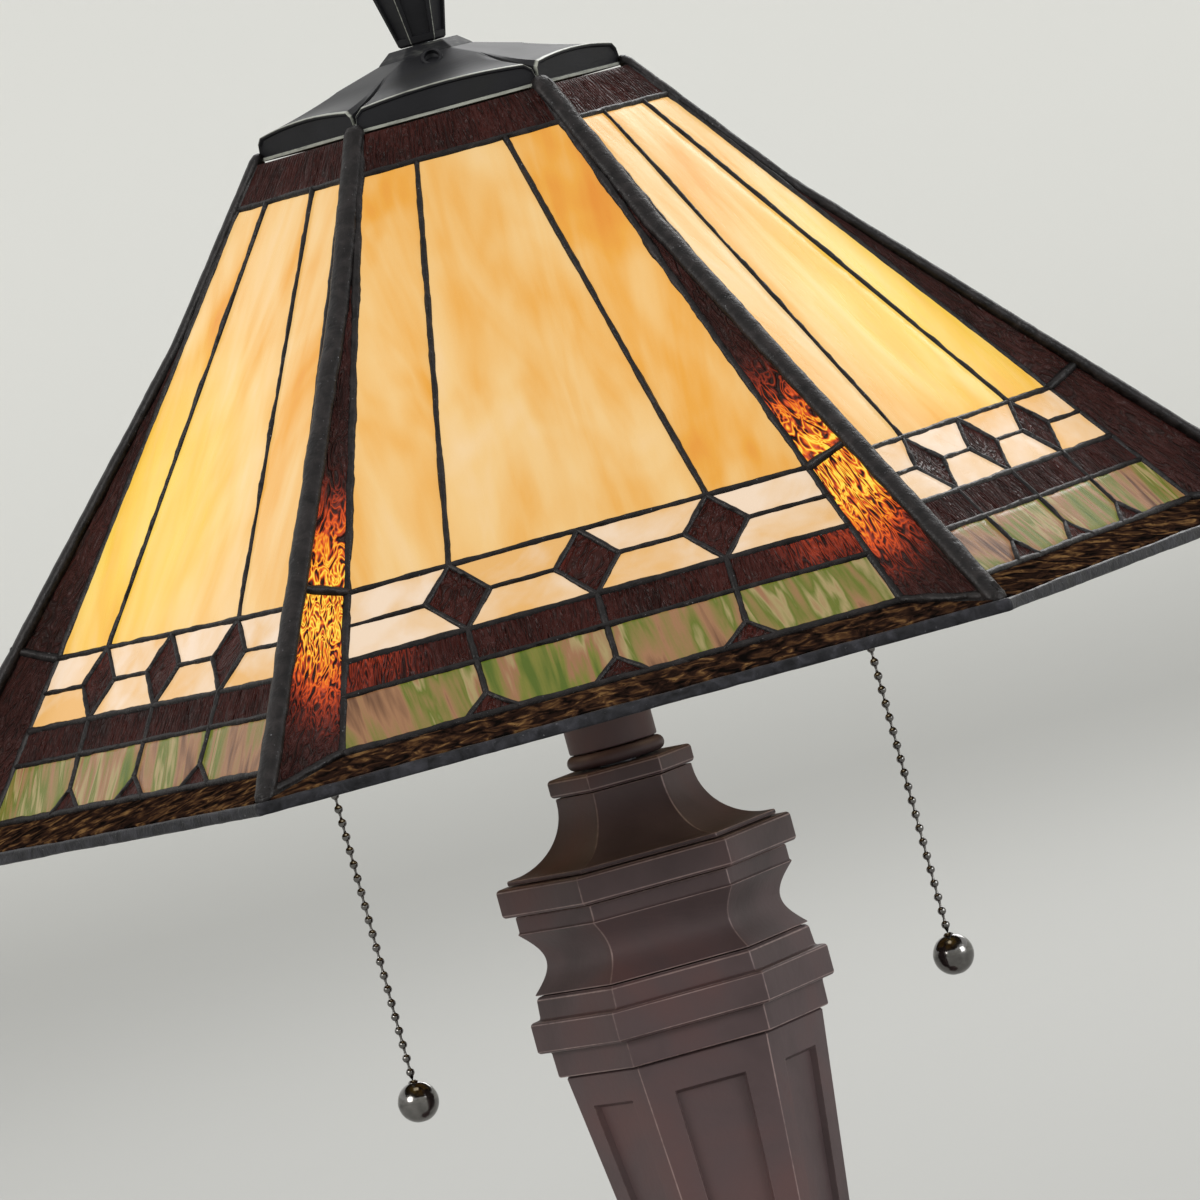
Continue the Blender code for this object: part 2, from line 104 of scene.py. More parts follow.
class LampShadeSettings(bpy.types.PropertyGroup):
    """Sizes of the shade in millimetres, heights counted from its rim."""
    ridge_fall: length_prop("Ridge fall", "Shrink of the ridge's radius for each mm of height", 0.9375)
    panel_apothem: length_prop("Panel apothem", "Distance of a panel's plane from the axis at the rim", 160.0)
    panel_fall: length_prop("Panel fall", "Shrink of that distance for each mm of height", 0.683)
    panel_foot: length_prop("Panel foot", "Bottom edge of the flat panels", 9.2)
    panel_foot_half: length_prop("Foot half width", "Half width of a panel at its foot", 76.4)
    panel_top_half: length_prop("Top half width", "Half width of a panel at its top", 25.0)
    panel_top: length_prop("Panel top", "Top edge of the glass, under the cap", 165.0)
    band_foot: length_prop("Band foot", "Bottom edge of the ribbed band under the cap", 154.6)
    pane_foot: length_prop("Pane foot", "Bottom edge of the long panes", 48.6)
    diamond_middle: length_prop("Diamond middle", "Height of the diamonds' side points", 40.2)
    pale_foot: length_prop("Pale foot", "Bottom edge of the pale pieces round the diamonds", 31.4)
    brown_foot: length_prop("Brown foot", "Bottom edge of the dark ribbed strip", 23.0)
    pane_lead_top: length_prop("Pane lead top", "Half distance of the two long leads at their top", 12.4)
    spacing: length_prop("Spacing", "Distance between the diamonds", 35.4)
    diamond_half: length_prop("Diamond half width", "Half width of a diamond", 8.8)
    chamfer: length_prop("Chamfer", "Size of the small triangles between the olive pieces", 7.4)
    glass: length_prop("Glass", "Thickness of the glass", 2.8)
    lead: length_prop("Lead", "Width of the fine leads", 2.3)
    edge_lead: length_prop("Edge lead", "Width of the leads along a panel's sides", 3.2)
    ridge_lead: length_prop("Ridge lead", "Width of the soldered ridges", 6.2)


class LampGlowSettings(bpy.types.PropertyGroup):
    """How the lit bulbs show in the glass."""
    bulb_x: length_prop("Bulb distance", "Distance of the bulbs from the axis, in mm", 66.0)
    bulb_up: length_prop("Bulb height", "Height of the bulbs' middle above the rim, in mm", 44.0)
    opal: bpy.props.FloatProperty(name="Opal glow", description="Light through the opal glass", default=0.84)
    hot: bpy.props.FloatProperty(name="Hot spot", description="Extra light nearest the bulbs", default=1.0)
    clear: bpy.props.FloatProperty(name="Clear glow", description="Light through the clear amber glass",
                                   default=1.0)
    bulb: bpy.props.FloatProperty(name="Bulb light", description="Brightness of the bulbs", default=1.6)


class LampColourSettings(bpy.types.PropertyGroup):
    """Colours of the glass and metal."""
    cream: colour_prop("Cream", "Palest streaks of the long panes", tone(250, 206, 136))
    peach: colour_prop("Peach", "Body colour of the long panes", tone(247, 192, 110))
    amber: colour_prop("Amber", "Strongest streaks of the long panes", tone(243, 172, 66))
    # Colour of the painted hot spot of bulb light in the opal.
    hot: colour_prop("Hot yellow", "Opal glass right in front of a bulb", tone(255, 228, 84))
    bronze: colour_prop("Bronze", "Body colour of the column", tone(78, 63, 64))
    # Paler colour of the marked column edges: rubbed metal and a painted highlight.
    worn: colour_prop("Worn edge", "Rubbed edges of the column", tone(156, 134, 130))
    black: colour_prop("Blackened bronze", "Body colour of the cap and finial", tone(24, 24, 27))
    solder: colour_prop("Solder", "Body colour of the leads", tone(24, 21, 21))
    floor: colour_prop("Floor", "Studio floor", tone(232, 232, 228))


def shade_settings():
    return bpy.context.scene.lamp_shade


def glow():
    return bpy.context.scene.lamp_glow


def paint(name):
    """A colour of the settings, as three linear values."""
    return tuple(getattr(bpy.context.scene.lamp_colours, name))


def shaded(colour, factor):
    return tuple(min(1.0, value * factor) for value in colour)


# ---------------------------------------------------------------- shader sums

class Link:
    """An output inside a material. Arithmetic on it adds Math nodes."""

    def __init__(self, graph, socket):
        self.graph = graph
        self.socket = socket

    def math(self, operation, *values):
        return self.graph.node("ShaderNodeMath", {"operation": operation}, dict(enumerate(values)))

    def __add__(self, other):
        return self.math("ADD", self, other)

    def __radd__(self, other):
        return self.math("ADD", other, self)

    def __sub__(self, other):
        return self.math("SUBTRACT", self, other)

    def __rsub__(self, other):
        return self.math("SUBTRACT", other, self)

    def __mul__(self, other):
        return self.math("MULTIPLY", self, other)

    def __rmul__(self, other):
        return self.math("MULTIPLY", other, self)

    def __abs__(self):
        return self.math("ABSOLUTE", self)


class Graph:
    """The nodes of one material or world."""

    def __init__(self, tree):
        self.tree = tree
        tree.nodes.clear()

    def node(self, kind, settings=None, inputs=None, output=0):
        """Adds a node: its settings first, then the values and links of its sockets."""
        made = self.tree.nodes.new(kind)
        for key, value in (settings or {}).items():
            if key == "stops":
                self._set_stops(made.color_ramp, value)
            else:
                setattr(made, key, value)
        for key, value in (inputs or {}).items():
            socket = made.inputs[key]
            if isinstance(value, Link):
                self.tree.links.new(value.socket, socket)
            elif socket.type == "RGBA" and len(value) == 3:
                socket.default_value = (*value, 1.0)
            else:
                socket.default_value = value
        return Link(self, made.outputs[output]) if len(made.outputs) else None

    @staticmethod
    def _set_stops(ramp, stops):
        while len(ramp.elements) < len(stops):
            ramp.elements.new(0.5)
        for element, (place, colour) in zip(ramp.elements, stops):
            element.position = place
            element.color = (*colour, 1.0)

    def ramp(self, value, stops):
        return self.node("ShaderNodeValToRGB", {"stops": stops}, {"Fac": value})

    def mix(self, share, low, high, blend="MIX"):
        return self.node("ShaderNodeMix", {"data_type": "RGBA", "blend_type": blend, "clamp_factor": True},
                         {0: share, 6: low, 7: high}, output=2)

    def step(self, value, low, high):
        """0 below low and 1 above high, with a smooth run between; low may be above high."""
        return self.node("ShaderNodeMapRange", {"interpolation_type": "SMOOTHSTEP", "clamp": True},
                         {"Value": value, "From Min": low, "From Max": high, "To Min": 0.0, "To Max": 1.0})

    def noise(self, vector, scale, detail=2.0, distortion=0.0):
        return self.node("ShaderNodeTexNoise", None, {"Vector": vector, "Scale": scale, "Detail": detail,
                                                      "Distortion": distortion})

    def cells(self, vector, scale):
        return self.node("ShaderNodeTexVoronoi", None, {"Vector": vector, "Scale": scale})

    def length(self, vector):
        return self.node("ShaderNodeVectorMath", {"operation": "LENGTH"}, {0: vector}, output="Value")

    def place(self):
        return self.node("ShaderNodeTexCoord", output="Object")

    def uv(self):
        return self.node("ShaderNodeUVMap", {"uv_map": "piece"})

    def attribute(self, name):
        return self.node("ShaderNodeAttribute", {"attribute_name": name}, output="Fac")

    def stretch(self, vector, scale):
        return self.node("ShaderNodeMapping", {"vector_type": "POINT"}, {"Vector": vector, "Scale": scale})

    def axes(self, vector):
        split = self.tree.nodes.new("ShaderNodeSeparateXYZ")
        self.tree.links.new(vector.socket, split.inputs[0])
        return [Link(self, output) for output in split.outputs]

    def bump(self, height, distance, strength=1.0):
        return self.node("ShaderNodeBump", None,
                         {"Height": height, "Distance": distance, "Strength": strength})

    def surface(self, **inputs):
        """The Principled shader and the output; constants go straight on its sockets."""
        names = {key.replace("_", " ").title().replace("Ior", "IOR"): value for key, value in inputs.items()}
        shader = self.node("ShaderNodeBsdfPrincipled", None, names)
        self.node("ShaderNodeOutputMaterial", None, {"Surface": shader})


def new_material(name):
    material = bpy.data.materials.new(name)
    material.use_nodes = True
    return material, Graph(material.node_tree)


# ---------------------------------------------------------------- glass materials

def bulb_distance(graph, place):
    """Distance from the nearer bulb's middle, in metres."""
    x, y, z = graph.axes(place)
    height = z - (RIM_Z + glow().bulb_up) * MM
    folded = graph.node("ShaderNodeCombineXYZ", None, {0: abs(x) - glow().bulb_x * MM, 1: y, 2: height})
    return graph.length(folded)


def straight_glow(graph, place):
    """How strongly a bulb shows through clear glass at the front and back: a soft upright spot each."""
    x, _, z = graph.axes(place)
    across = 1.0 - graph.step(abs(abs(x) - (glow().bulb_x + 2.0) * MM), 0.008, 0.026)
    height = z - (RIM_Z + glow().bulb_up + 3.0) * MM
    level = 1.0 - graph.step(abs(height), 0.003, 0.041)
    return across * level


def opal_material(name, stops, low_light, streak, hot=True):
    """Opal glass: cloudy streaks along each piece's own direction, lit from behind.

    The streaks are two noises stretched along the piece. Light is strongest nearest a bulb.
    """
    material, graph = new_material(name)
    uv = graph.uv()
    place = graph.place()
    tint = graph.attribute("tint")
    wide = graph.noise(graph.stretch(uv, streak), 1.0, detail=3.0, distortion=0.9)
    fine = graph.noise(graph.stretch(uv, tuple(3.1 * v for v in streak)), 1.0, detail=4.0, distortion=0.5)
    cloud = graph.noise(graph.stretch(uv, (26.0, 17.0, 1.0)), 1.0, detail=2.0, distortion=1.2)
    value = wide * 0.46 + fine * 0.14 + cloud * 0.5 - 0.07 + (tint - 0.5) * 0.26
    spread = (value - 0.5) * 1.8 + 0.5
    colour = graph.ramp(spread, stops)
    # Painted glow: the emission stands in for bulb light through the opal, brighter near a bulb, with a
    # painted yellow hot spot.
    far = bulb_distance(graph, place)
    near = graph.step(far, 0.150, 0.045)
    spot = graph.step(far, 0.092, 0.047) * glow().hot
    light = low_light + near * (0.98 - low_light) if hot else near * 0.12 + low_light
    light = light * (1.0 - graph.attribute("inside") * 0.85)
    if hot:
        colour = graph.mix(spot * (0.62 + (fine - 0.5) * 0.8), colour, paint("hot"))
    lit = graph.mix(1.0, colour, graph.node("ShaderNodeCombineColor", None, {0: light, 1: light, 2: light}),
                    "MULTIPLY")
    seeds = graph.noise(place, 900.0, detail=2.0)
    relief = fine * 0.5 + seeds * 0.12
    graph.surface(base_color=graph.mix(0.84, colour, (0.0, 0.0, 0.0)), roughness=0.2 + fine * 0.12,
                  emission_color=lit, emission_strength=glow().opal, specular_ior_level=0.3,
                  normal=graph.bump(relief, 0.0006, 0.4))
    return material


def clear_material(name, body, streak, height, glint, painted_dim_glow):
    """Rippled clear glass: dark by itself, with streaks of painted glow, like flames, where a bulb is behind
    it.

    The ripple is a folded noise, one minus its distance from the middle, stretched along the piece. Glint is
    the strength of the painted glow of a bulb, the next argument that of the faint painted glow everywhere
    else, and height that of the ripples.
    """
    material, graph = new_material(name)
    uv = graph.uv()
    place = graph.place()
    ripple = graph.noise(graph.stretch(uv, streak), 1.0, detail=1.5, distortion=2.2)
    fold = 1.0 - abs(ripple * 2.0 - 1.0) * 4.4
    body_cloud = graph.noise(place, 60.0, detail=3.0)
    # Painted glow: emission stands in for bulb light through the glass, a streaked spot before each bulb and
    # a faint glow elsewhere.
    strength = straight_glow(graph, place) * (1.0 - graph.attribute("inside") * 0.9)
    painted_glow = strength * (0.36 + fold * 0.52) * glint + painted_dim_glow * (0.06 + fold * 0.16 + (body_cloud - 0.5) * 0.4)
    painted_glow_colour = graph.ramp(painted_glow, [(0.0, (0.0, 0.0, 0.0)), (0.16, tone(46, 10, 6)), (0.36, tone(128, 40, 20)),
                              (0.6, tone(226, 84, 24)), (0.82, tone(252, 168, 34)),
                              (1.0, tone(255, 226, 80))])
    shade = graph.mix(body_cloud, shaded(body, 0.3), shaded(body, 0.9))
    graph.surface(base_color=shade, roughness=0.24 + body_cloud * 0.14, emission_color=painted_glow_colour,
                  emission_strength=glow().clear, normal=graph.bump(fold + body_cloud * 0.4, height, 0.7),
                  specular_ior_level=0.1)
    return material


def granite_material():
    """The border's dark glass, speckled with gold-brown and black, with a faint painted glow."""
    material, graph = new_material("border_glass")
    place = graph.place()
    blotch = graph.noise(place, 190.0, detail=4.0, distortion=1.0)
    speck = graph.cells(place, 420.0)
    colour = graph.ramp(blotch, [(0.36, tone(10, 8, 7)), (0.5, tone(34, 22, 17)), (0.6, tone(64, 44, 28)),
                                 (0.7, tone(104, 78, 48))])
    colour = graph.mix(graph.step(speck, 0.22, 0.1), colour, tone(22, 16, 12))
    # Painted glow: a darkened copy of the colour is emitted, standing in for bulb light through the border.
    painted_dim_glow = graph.mix(0.72, colour, (0.0, 0.0, 0.0))
    graph.surface(base_color=colour, roughness=0.42 + speck * 0.2, emission_color=painted_dim_glow, emission_strength=0.4,
                  specular_ior_level=0.0, normal=graph.bump(blotch, 0.0009, 0.6))
    return material


def make_glass_materials():
    panes = [(0.1, tone(252, 216, 162)), (0.34, paint("cream")), (0.52, paint("peach")),
             (0.72, paint("amber")), (0.92, tone(236, 150, 50))]
    pale = [(0.24, tone(250, 224, 196)), (0.46, tone(244, 206, 160)), (0.66, tone(240, 186, 112))]
    olive = [(0.14, tone(98, 62, 40)), (0.3, tone(176, 128, 90)), (0.4, tone(150, 132, 70)),
             (0.47, tone(112, 124, 36)), (0.54, tone(186, 166, 112)), (0.62, tone(172, 122, 86)),
             (0.7, tone(134, 134, 52)), (0.84, tone(92, 112, 26))]
    return {
        "opal": opal_material("opal_panes", panes, 0.8, (58.0, 12.0, 1.0)),
        "pale": opal_material("pale_opal", pale, 0.82, (60.0, 40.0, 1.0), hot=False),
        "olive": opal_material("olive_glass", olive, 0.62, (150.0, 20.0, 1.0), hot=False),
        "ribbed": clear_material("ribbed_brown_glass", tone(46, 26, 23), (560.0, 90.0, 1.0), 0.0007, 0.5,
                                 0.52),
        "ruby": clear_material("dark_ruby_glass", tone(46, 24, 20), (300.0, 120.0, 1.0), 0.0008, 0.62, 0.66),
        "amber": clear_material("rippled_amber_glass", tone(58, 42, 40), (250.0, 110.0, 1.0), 0.0014, 1.16,
                                0.4),
        "border": granite_material(),
    }


# ---------------------------------------------------------------- metal materials

def bronze_material():
    """Dark russet bronze, cloudy and slightly streaked, with paler edges from a mesh attribute:
    partly rubbed metal, partly a painted highlight.
    """
    material, graph = new_material("russet_bronze")
    place = graph.place()
    cloud = graph.noise(place, 24.0, detail=4.0, distortion=0.4)
    grain = graph.noise(place, 520.0, detail=3.0)
    wear = graph.attribute("wear")
    body = paint("bronze")
    warm = (body[0] * 1.28, body[1] * 1.02, body[2] * 0.96)
    colour = graph.ramp(cloud, [(0.32, shaded(body, 0.62)), (0.5, body), (0.7, warm)])
    patchy = graph.noise(place, 46.0, detail=2.0)
    # Paler marked edges: partly rubbed metal, partly a painted highlight.
    rub_and_highlight = graph.step(wear * (0.3 + grain * 0.5 + patchy * 0.7), 0.42, 1.0)
    colour = graph.mix(rub_and_highlight * 0.7, colour, paint("worn"))
    graph.surface(base_color=colour, metallic=0.2, roughness=0.46 + cloud * 0.14 - rub_and_highlight * 0.1,
                  specular_ior_level=0.4, normal=graph.bump(grain * 0.4 + cloud, 0.0005, 0.35))
    return material


def blackened_material():
    """Blackened bronze with a brushed olive sheen and pale edges: painted highlight lines, partly rubbed
    metal.
    """
    material, graph = new_material("blackened_bronze")
    place = graph.place()
    cloud = graph.noise(place, 38.0, detail=4.0, distortion=0.5)
    brushed = graph.noise(graph.stretch(place, (260.0, 260.0, 1500.0)), 1.0, detail=2.0)
    wear = graph.attribute("wear")
    body = paint("black")
    olive = (body[0] * 1.1, body[1] * 1.12, body[2] * 0.82)
    colour = graph.ramp(cloud, [(0.32, shaded(body, 0.5)), (0.55, body), (0.75, olive)])
    # Painted highlight: marked edges, chiefly the cap's lobe edges, mix to pale grey; partly rubbed metal.
    rub_and_highlight = graph.step(wear * (0.7 + brushed * 0.5), 0.55, 0.92)
    colour = graph.mix(rub_and_highlight * 0.75, colour, tone(160, 162, 152))
    graph.surface(base_color=colour, metallic=0.1, roughness=0.5 + cloud * 0.14 - rub_and_highlight * 0.14,
                  specular_ior_level=0.2, normal=graph.bump(brushed * 0.3 + cloud, 0.0004, 0.3))
    return material


def solder_material(name, body):
    """Patinated solder: lumpy and dark, with small bright specks painted as glints."""
    material, graph = new_material(name)
    place = graph.place()
    lump = graph.noise(place, 260.0, detail=4.0, distortion=0.6)
    grain = graph.noise(place, 1300.0, detail=2.0)
    colour = graph.ramp(lump, [(0.3, shaded(body, 0.35)), (0.52, body), (0.72, shaded(body, 2.0))])
    # Painted glints: small bright grey specks on the solder.
    speck = graph.step(grain, 0.70, 0.80)
    colour = graph.mix(speck * 0.5, colour, tone(140, 140, 144))
    graph.surface(base_color=colour, metallic=0.1, roughness=0.3 + lump * 0.24 - speck * 0.1,
                  specular_ior_level=0.2, normal=graph.bump(lump + grain * 0.3, 0.0007, 0.6))
    return material


def metal_material(name, body, roughness, grain_scale=(500.0, 500.0, 500.0), metallic=1.0):
    """A plain metal or paint with cloudy tone, fine grain and uneven gloss."""
    material, graph = new_material(name)
    place = graph.place()
    cloud = graph.noise(place, 70.0, detail=4.0)
    grain = graph.noise(graph.stretch(place, grain_scale), 1.0, detail=2.0)
    dark, pale = shaded(body, 0.65), shaded(body, 1.35)
    colour = graph.ramp(cloud * 0.6 + grain * 0.4, [(0.34, dark), (0.5, body), (0.68, pale)])
    graph.surface(base_color=colour, metallic=metallic, roughness=roughness + (cloud - 0.5) * 0.2,
                  normal=graph.bump(grain, 0.0002, 0.4))
    return material


def felt_material():
    """Dense black felt: short matted fibres and a soft nap."""
    material, graph = new_material("base_felt")
    place = graph.place()
    fibres = graph.noise(graph.stretch(place, (900.0, 2600.0, 900.0)), 1.0, detail=4.0, distortion=1.5)
    tufts = graph.noise(place, 320.0, detail=3.0)
    colour = graph.ramp(fibres * 0.6 + tufts * 0.4, [(0.3, tone(14, 14, 15)), (0.7, tone(52, 51, 52))])
    graph.surface(base_color=colour, roughness=0.96, sheen_weight=0.4, sheen_roughness=0.5,
                  normal=graph.bump(fibres + tufts, 0.0006, 0.8))
    return material


def bulb_material():
    """Frosted lamp glass: warm and bright at its belly, a little dimmer towards the neck."""
    material, graph = new_material("lit_bulb")
    _, _, z = graph.axes(graph.place())
    belly = graph.step(z, (RIM_Z + 76.0) * MM, (RIM_Z + 40.0) * MM)
    frost = graph.noise(graph.place(), 700.0, detail=2.0)
    colour = graph.mix(belly, tone(255, 196, 108), tone(255, 236, 196))
    graph.surface(base_color=(0.9, 0.86, 0.78), roughness=0.3 + frost * 0.2, emission_color=colour,
                  emission_strength=glow().bulb, normal=graph.bump(frost, 0.0001, 0.3))
    return material


def make_metal_materials():
    return {
        "bronze": bronze_material(),
        "black": blackened_material(),
        "solder": solder_material("patinated_solder", paint("solder")),
        "rim": solder_material("rim_channel_lead", tone(34, 34, 38)),
        "brass": metal_material("aged_brass", tone(150, 118, 66), 0.34),
        "socket": metal_material("antiqued_socket_brass", tone(128, 104, 70), 0.36, (300.0, 300.0, 1800.0)),
        "steel": metal_material("zinc_plated_steel", tone(120, 120, 124), 0.42, (200.0, 200.0, 2600.0)),
        "iron": metal_material("cast_iron_weight", tone(58, 56, 55), 0.62, metallic=0.5),
        "nickel": metal_material("blackened_nickel", tone(112, 110, 108), 0.16),
        "thread": metal_material("bulb_thread", tone(190, 188, 184), 0.28),
        "felt": felt_material(),
        "bulb": bulb_material(),
    }


MATERIALS = {}


def finish(name):
    """The material of that name, made once."""
    if not MATERIALS:
        MATERIALS.update(make_glass_materials())
        MATERIALS.update(make_metal_materials())
    return MATERIALS[name]


# ---------------------------------------------------------------- meshes

class Shell:
    """Collects closed surfaces of one piece: points, faces, and a uv, tint, wear and inside for each point.

    Tint shifts a glass piece's colour, the middle trait marks rubbed edges that also carry a painted
    highlight, and inside marks the back of lit glass.
    """
    TRAITS = ("tint", "wear", "inside")

    def __init__(self):
        self.points = []
        self.quads = []
        self.triangles = []
        self.uvs = []
        self.traits = []
        self.count = 0

    def add(self, points, quads, triangles=None, uv=None, tint=0.5, wear=0.0, inside=0.0):
        total = len(points)
        self.points.append(np.asarray(points, float))
        self.quads.append(np.asarray(quads, int).reshape(-1, 4) + self.count)
        if triangles is not None and len(triangles):
            self.triangles.append(np.asarray(triangles, int).reshape(-1, 3) + self.count)
        self.uvs.append(np.zeros((total, 2)) if uv is None else np.asarray(uv, float))
        self.traits.append([np.broadcast_to(np.asarray(values, float), (total,))
                            for values in (tint, wear, inside)])
        self.count += total

    def build(self, name, material, smooth_angle=35.0):
        """Makes the mesh in metres, with its uv map and attributes."""
        points = np.concatenate(self.points) * MM
        quads = np.concatenate(self.quads)
        triangles = np.concatenate(self.triangles) if self.triangles else np.zeros((0, 3), int)
        mesh = bpy.data.meshes.new(name)
        mesh.from_pydata(points.tolist(), [], quads.tolist() + triangles.tolist())
        corners = np.empty(len(mesh.loops), dtype=np.int32)
        mesh.loops.foreach_get("vertex_index", corners)
        layer = mesh.uv_layers.new(name="piece")
        layer.data.foreach_set("uv", np.concatenate(self.uvs)[corners].astype(np.float32).ravel())
        for key, values in zip(self.TRAITS, zip(*self.traits)):
            attribute = mesh.attributes.new(key, "FLOAT", "POINT")
            attribute.data.foreach_set("value", np.concatenate(values).astype(np.float32))
        mesh.materials.append(finish(material))
        mesh.polygons.foreach_set("use_smooth", np.ones(len(mesh.polygons), dtype=bool))
        mesh.set_sharp_from_angle(angle=math.radians(smooth_angle))
        mesh.update()
        return add_object(name, mesh)


def add_object(name, data):
    thing = bpy.data.objects.new(name, data)
    bpy.context.scene.collection.objects.link(thing)
    return thing


def grid_quads(rows, columns, wrap_rows=False, flip=False):
    """Index quads of a grid of points stored row by row, joined up along each row."""
    r, c = np.meshgrid(np.arange(rows if wrap_rows else rows - 1), np.arange(columns), indexing="ij")
    r2 = (r + 1) % rows
    c2 = (c + 1) % columns
    quads = np.stack([r * columns + c, r * columns + c2, r2 * columns + c2, r2 * columns + c], -1)
    quads = quads.reshape(-1, 4)
    return quads[:, ::-1] if flip else quads


def turn_points(points, angle):
    """Points turned about the lamp's axis."""
    cosine, sine = math.cos(angle), math.sin(angle)
    x, y, z = points[..., 0], points[..., 1], points[..., 2]
    return np.stack([x * cosine - y * sine, x * sine + y * cosine, z], -1)


def smooth_noise(count, seed, run):
    """A seeded wander between about -1 and 1, smooth over `run` samples."""
    values = np.random.default_rng(seed).uniform(-1.0, 1.0, count + 2 * run)
    kernel = np.hanning(2 * run + 1)
    kernel /= math.sqrt((kernel ** 2).sum())
    return np.convolve(values, kernel, mode="same")[run:run + count] * 1.2


def poled(shell, rings, flip=False, **extra):
    """A closed surface through rings of points (rows, columns, 3), its end rings merged to one point each."""
    rows, columns = rings.shape[:2]
    middle = rings[1:-1].reshape(-1, 3)
    first, last = rings[0].mean(0), rings[-1].mean(0)
    points = np.concatenate([middle, [first, last]])
    low, high = len(middle), len(middle) + 1
    quads = grid_quads(rows - 2, columns, flip=flip)
    c = np.arange(columns)
    c2 = (c + 1) % columns
    end = (rows - 3) * columns
    start_fan = np.stack([np.full(columns, low), c2, c], -1)
    end_fan = np.stack([np.full(columns, high), end + c, end + c2], -1)
    fans = np.concatenate([start_fan, end_fan])
    if flip:
        fans = fans[:, ::-1]
    trimmed = {}
    for key, value in extra.items():
        value = np.asarray(value, float)
        if value.ndim >= 2 and value.shape[:2] == (rows, columns):
            body = value[1:-1].reshape(-1, *value.shape[2:])
            ends = np.stack([value[0].mean(0), value[-1].mean(0)])
            value = np.concatenate([body, ends])
        trimmed[key] = value
    shell.add(points, quads, fans, **trimmed)


# ---------------------------------------------------------------- the shade's planes

def panel_apothem(up):
    settings = shade_settings()
    return settings.panel_apothem - settings.panel_fall * up


def ridge_radius(up):
    return RIM_RADIUS - shade_settings().ridge_fall * up


def kink_up():
    """Level above which a folded corner lies flush with the two panels beside it."""
    settings = shade_settings()
    return ((RIM_RADIUS - settings.panel_apothem / COS_30)
            / (settings.ridge_fall - settings.panel_fall / COS_30))


def panel_half(up):
    """Half width of a flat panel: a straight line from its foot to its top."""
    settings = shade_settings()
    share = (up - settings.panel_foot) / (settings.panel_top - settings.panel_foot)
    return settings.panel_foot_half + (settings.panel_top_half - settings.panel_foot_half) * share


def face_points(across, up, lift=0.0):
    """Points of the front face's plane from (across, height), raised `lift` along its outward normal."""
    across, up, lift = np.broadcast_arrays(np.asarray(across, float), np.asarray(up, float),
                                           np.asarray(lift, float))
    slope = math.hypot(1.0, shade_settings().panel_fall)
    fall = shade_settings().panel_fall
    return np.stack([across, -panel_apothem(up) - lift / slope, RIM_Z + up + lift * fall / slope], -1)


def slope_length(up):
    """Distance along a panel's slope for a height."""
    return up * math.hypot(1.0, shade_settings().panel_fall)


def cut_piece(shell, corners, turn, seed, tint, lean):
    """One flat piece of glass from its corners (across, height), counter-clockwise, as a closed slab.

    A point is centre + r (edge - centre); r runs from 0 to 1 over the front, then back to 0 underneath, and
    the rim of the front is rounded down by a small step.
    """
    corners = np.asarray(corners, float)
    per_edge = 6
    share = np.arange(per_edge)[:, None] / per_edge
    following = np.roll(corners, -1, axis=0)
    edge = (corners[:, None] * (1.0 - share) + following[:, None] * share).reshape(-1, 2)
    centre = corners.mean(0)
    thick = shade_settings().glass
    reach = np.array([0.0, 0.35, 0.7, 0.94, 1.0, 1.0, 0.94, 0.5, 0.0])
    level = np.array([0.0, 0.0, 0.0, -0.05, -0.35, -thick + 0.35, -thick + 0.05, -thick, -thick])
    flat = centre + reach[:, None, None] * (edge - centre)
    rings = face_points(flat[..., 0], flat[..., 1], level[:, None])
    random = np.random.default_rng(seed)
    angle = lean + random.uniform(-0.12, 0.12)
    u = flat[..., 0] * MM
    v = slope_length(flat[..., 1]) * MM
    uv = np.stack([u * math.cos(angle) - v * math.sin(angle), u * math.sin(angle) + v * math.cos(angle)], -1)
    uv = uv + random.uniform(0.0, 9.0, 2)
    inside = np.broadcast_to((np.arange(len(reach)) > 4.5)[:, None], rings.shape[:2])
    poled(shell, turn_points(rings, turn), uv=uv, tint=tint, inside=inside)


def relief_patch(shell, quad, rows, columns, relief, seed, thick):
    """A slab between four points (low left, low right, high right, high left) with a worked front.

    A point is the bilinear blend of the four corners, raised along the patch's normal by relief(s, t), and
    the back is the same blend sunk by the thickness. The grid runs over the front and round under the back.
    """
    quad = np.asarray(quad, float)
    s, t = np.meshgrid(np.linspace(0.0, 1.0, rows), np.linspace(0.0, 1.0, columns), indexing="ij")
    low = quad[0] + (quad[1] - quad[0]) * t[..., None]
    high = quad[3] + (quad[2] - quad[3]) * t[..., None]
    flat = low + (high - low) * s[..., None]
    normal = np.cross(quad[1] - quad[0], quad[3] - quad[0])
    normal /= np.linalg.norm(normal)
    fade = np.minimum(1.0, 12.0 * np.minimum(np.minimum(t, 1 - t), np.minimum(s, 1 - s) * 2.0))
    front = flat + normal * (relief(s, t) * fade)[..., None]
    back = (flat - normal * thick)[:, ::-1]
    section = np.concatenate([front, back], axis=1)
    width = np.linalg.norm(quad[1] - quad[0])
    height = np.linalg.norm(quad[3] - quad[0])
    shift = np.random.default_rng(seed).uniform(0.0, 9.0, 2)
    uv = np.stack([(t - 0.5) * width * MM, s * height * MM], -1) + shift
    uv = np.concatenate([uv, uv[:, ::-1]], axis=1)
    count = 2 * columns
    quads = grid_quads(rows, count)
    span = np.arange(columns - 1)
    mirror = count - 1 - span
    floor_faces = np.stack([span, mirror, mirror - 1, span + 1], -1)
    top = (rows - 1) * count
    roof_faces = np.stack([span, span + 1, mirror - 1, mirror], -1) + top
    inside = np.repeat((np.arange(count) >= columns)[None], rows, 0)
    shell.add(section.reshape(-1, 3), np.concatenate([quads, floor_faces, roof_faces]), uv=uv.reshape(-1, 2),
              inside=inside.ravel())


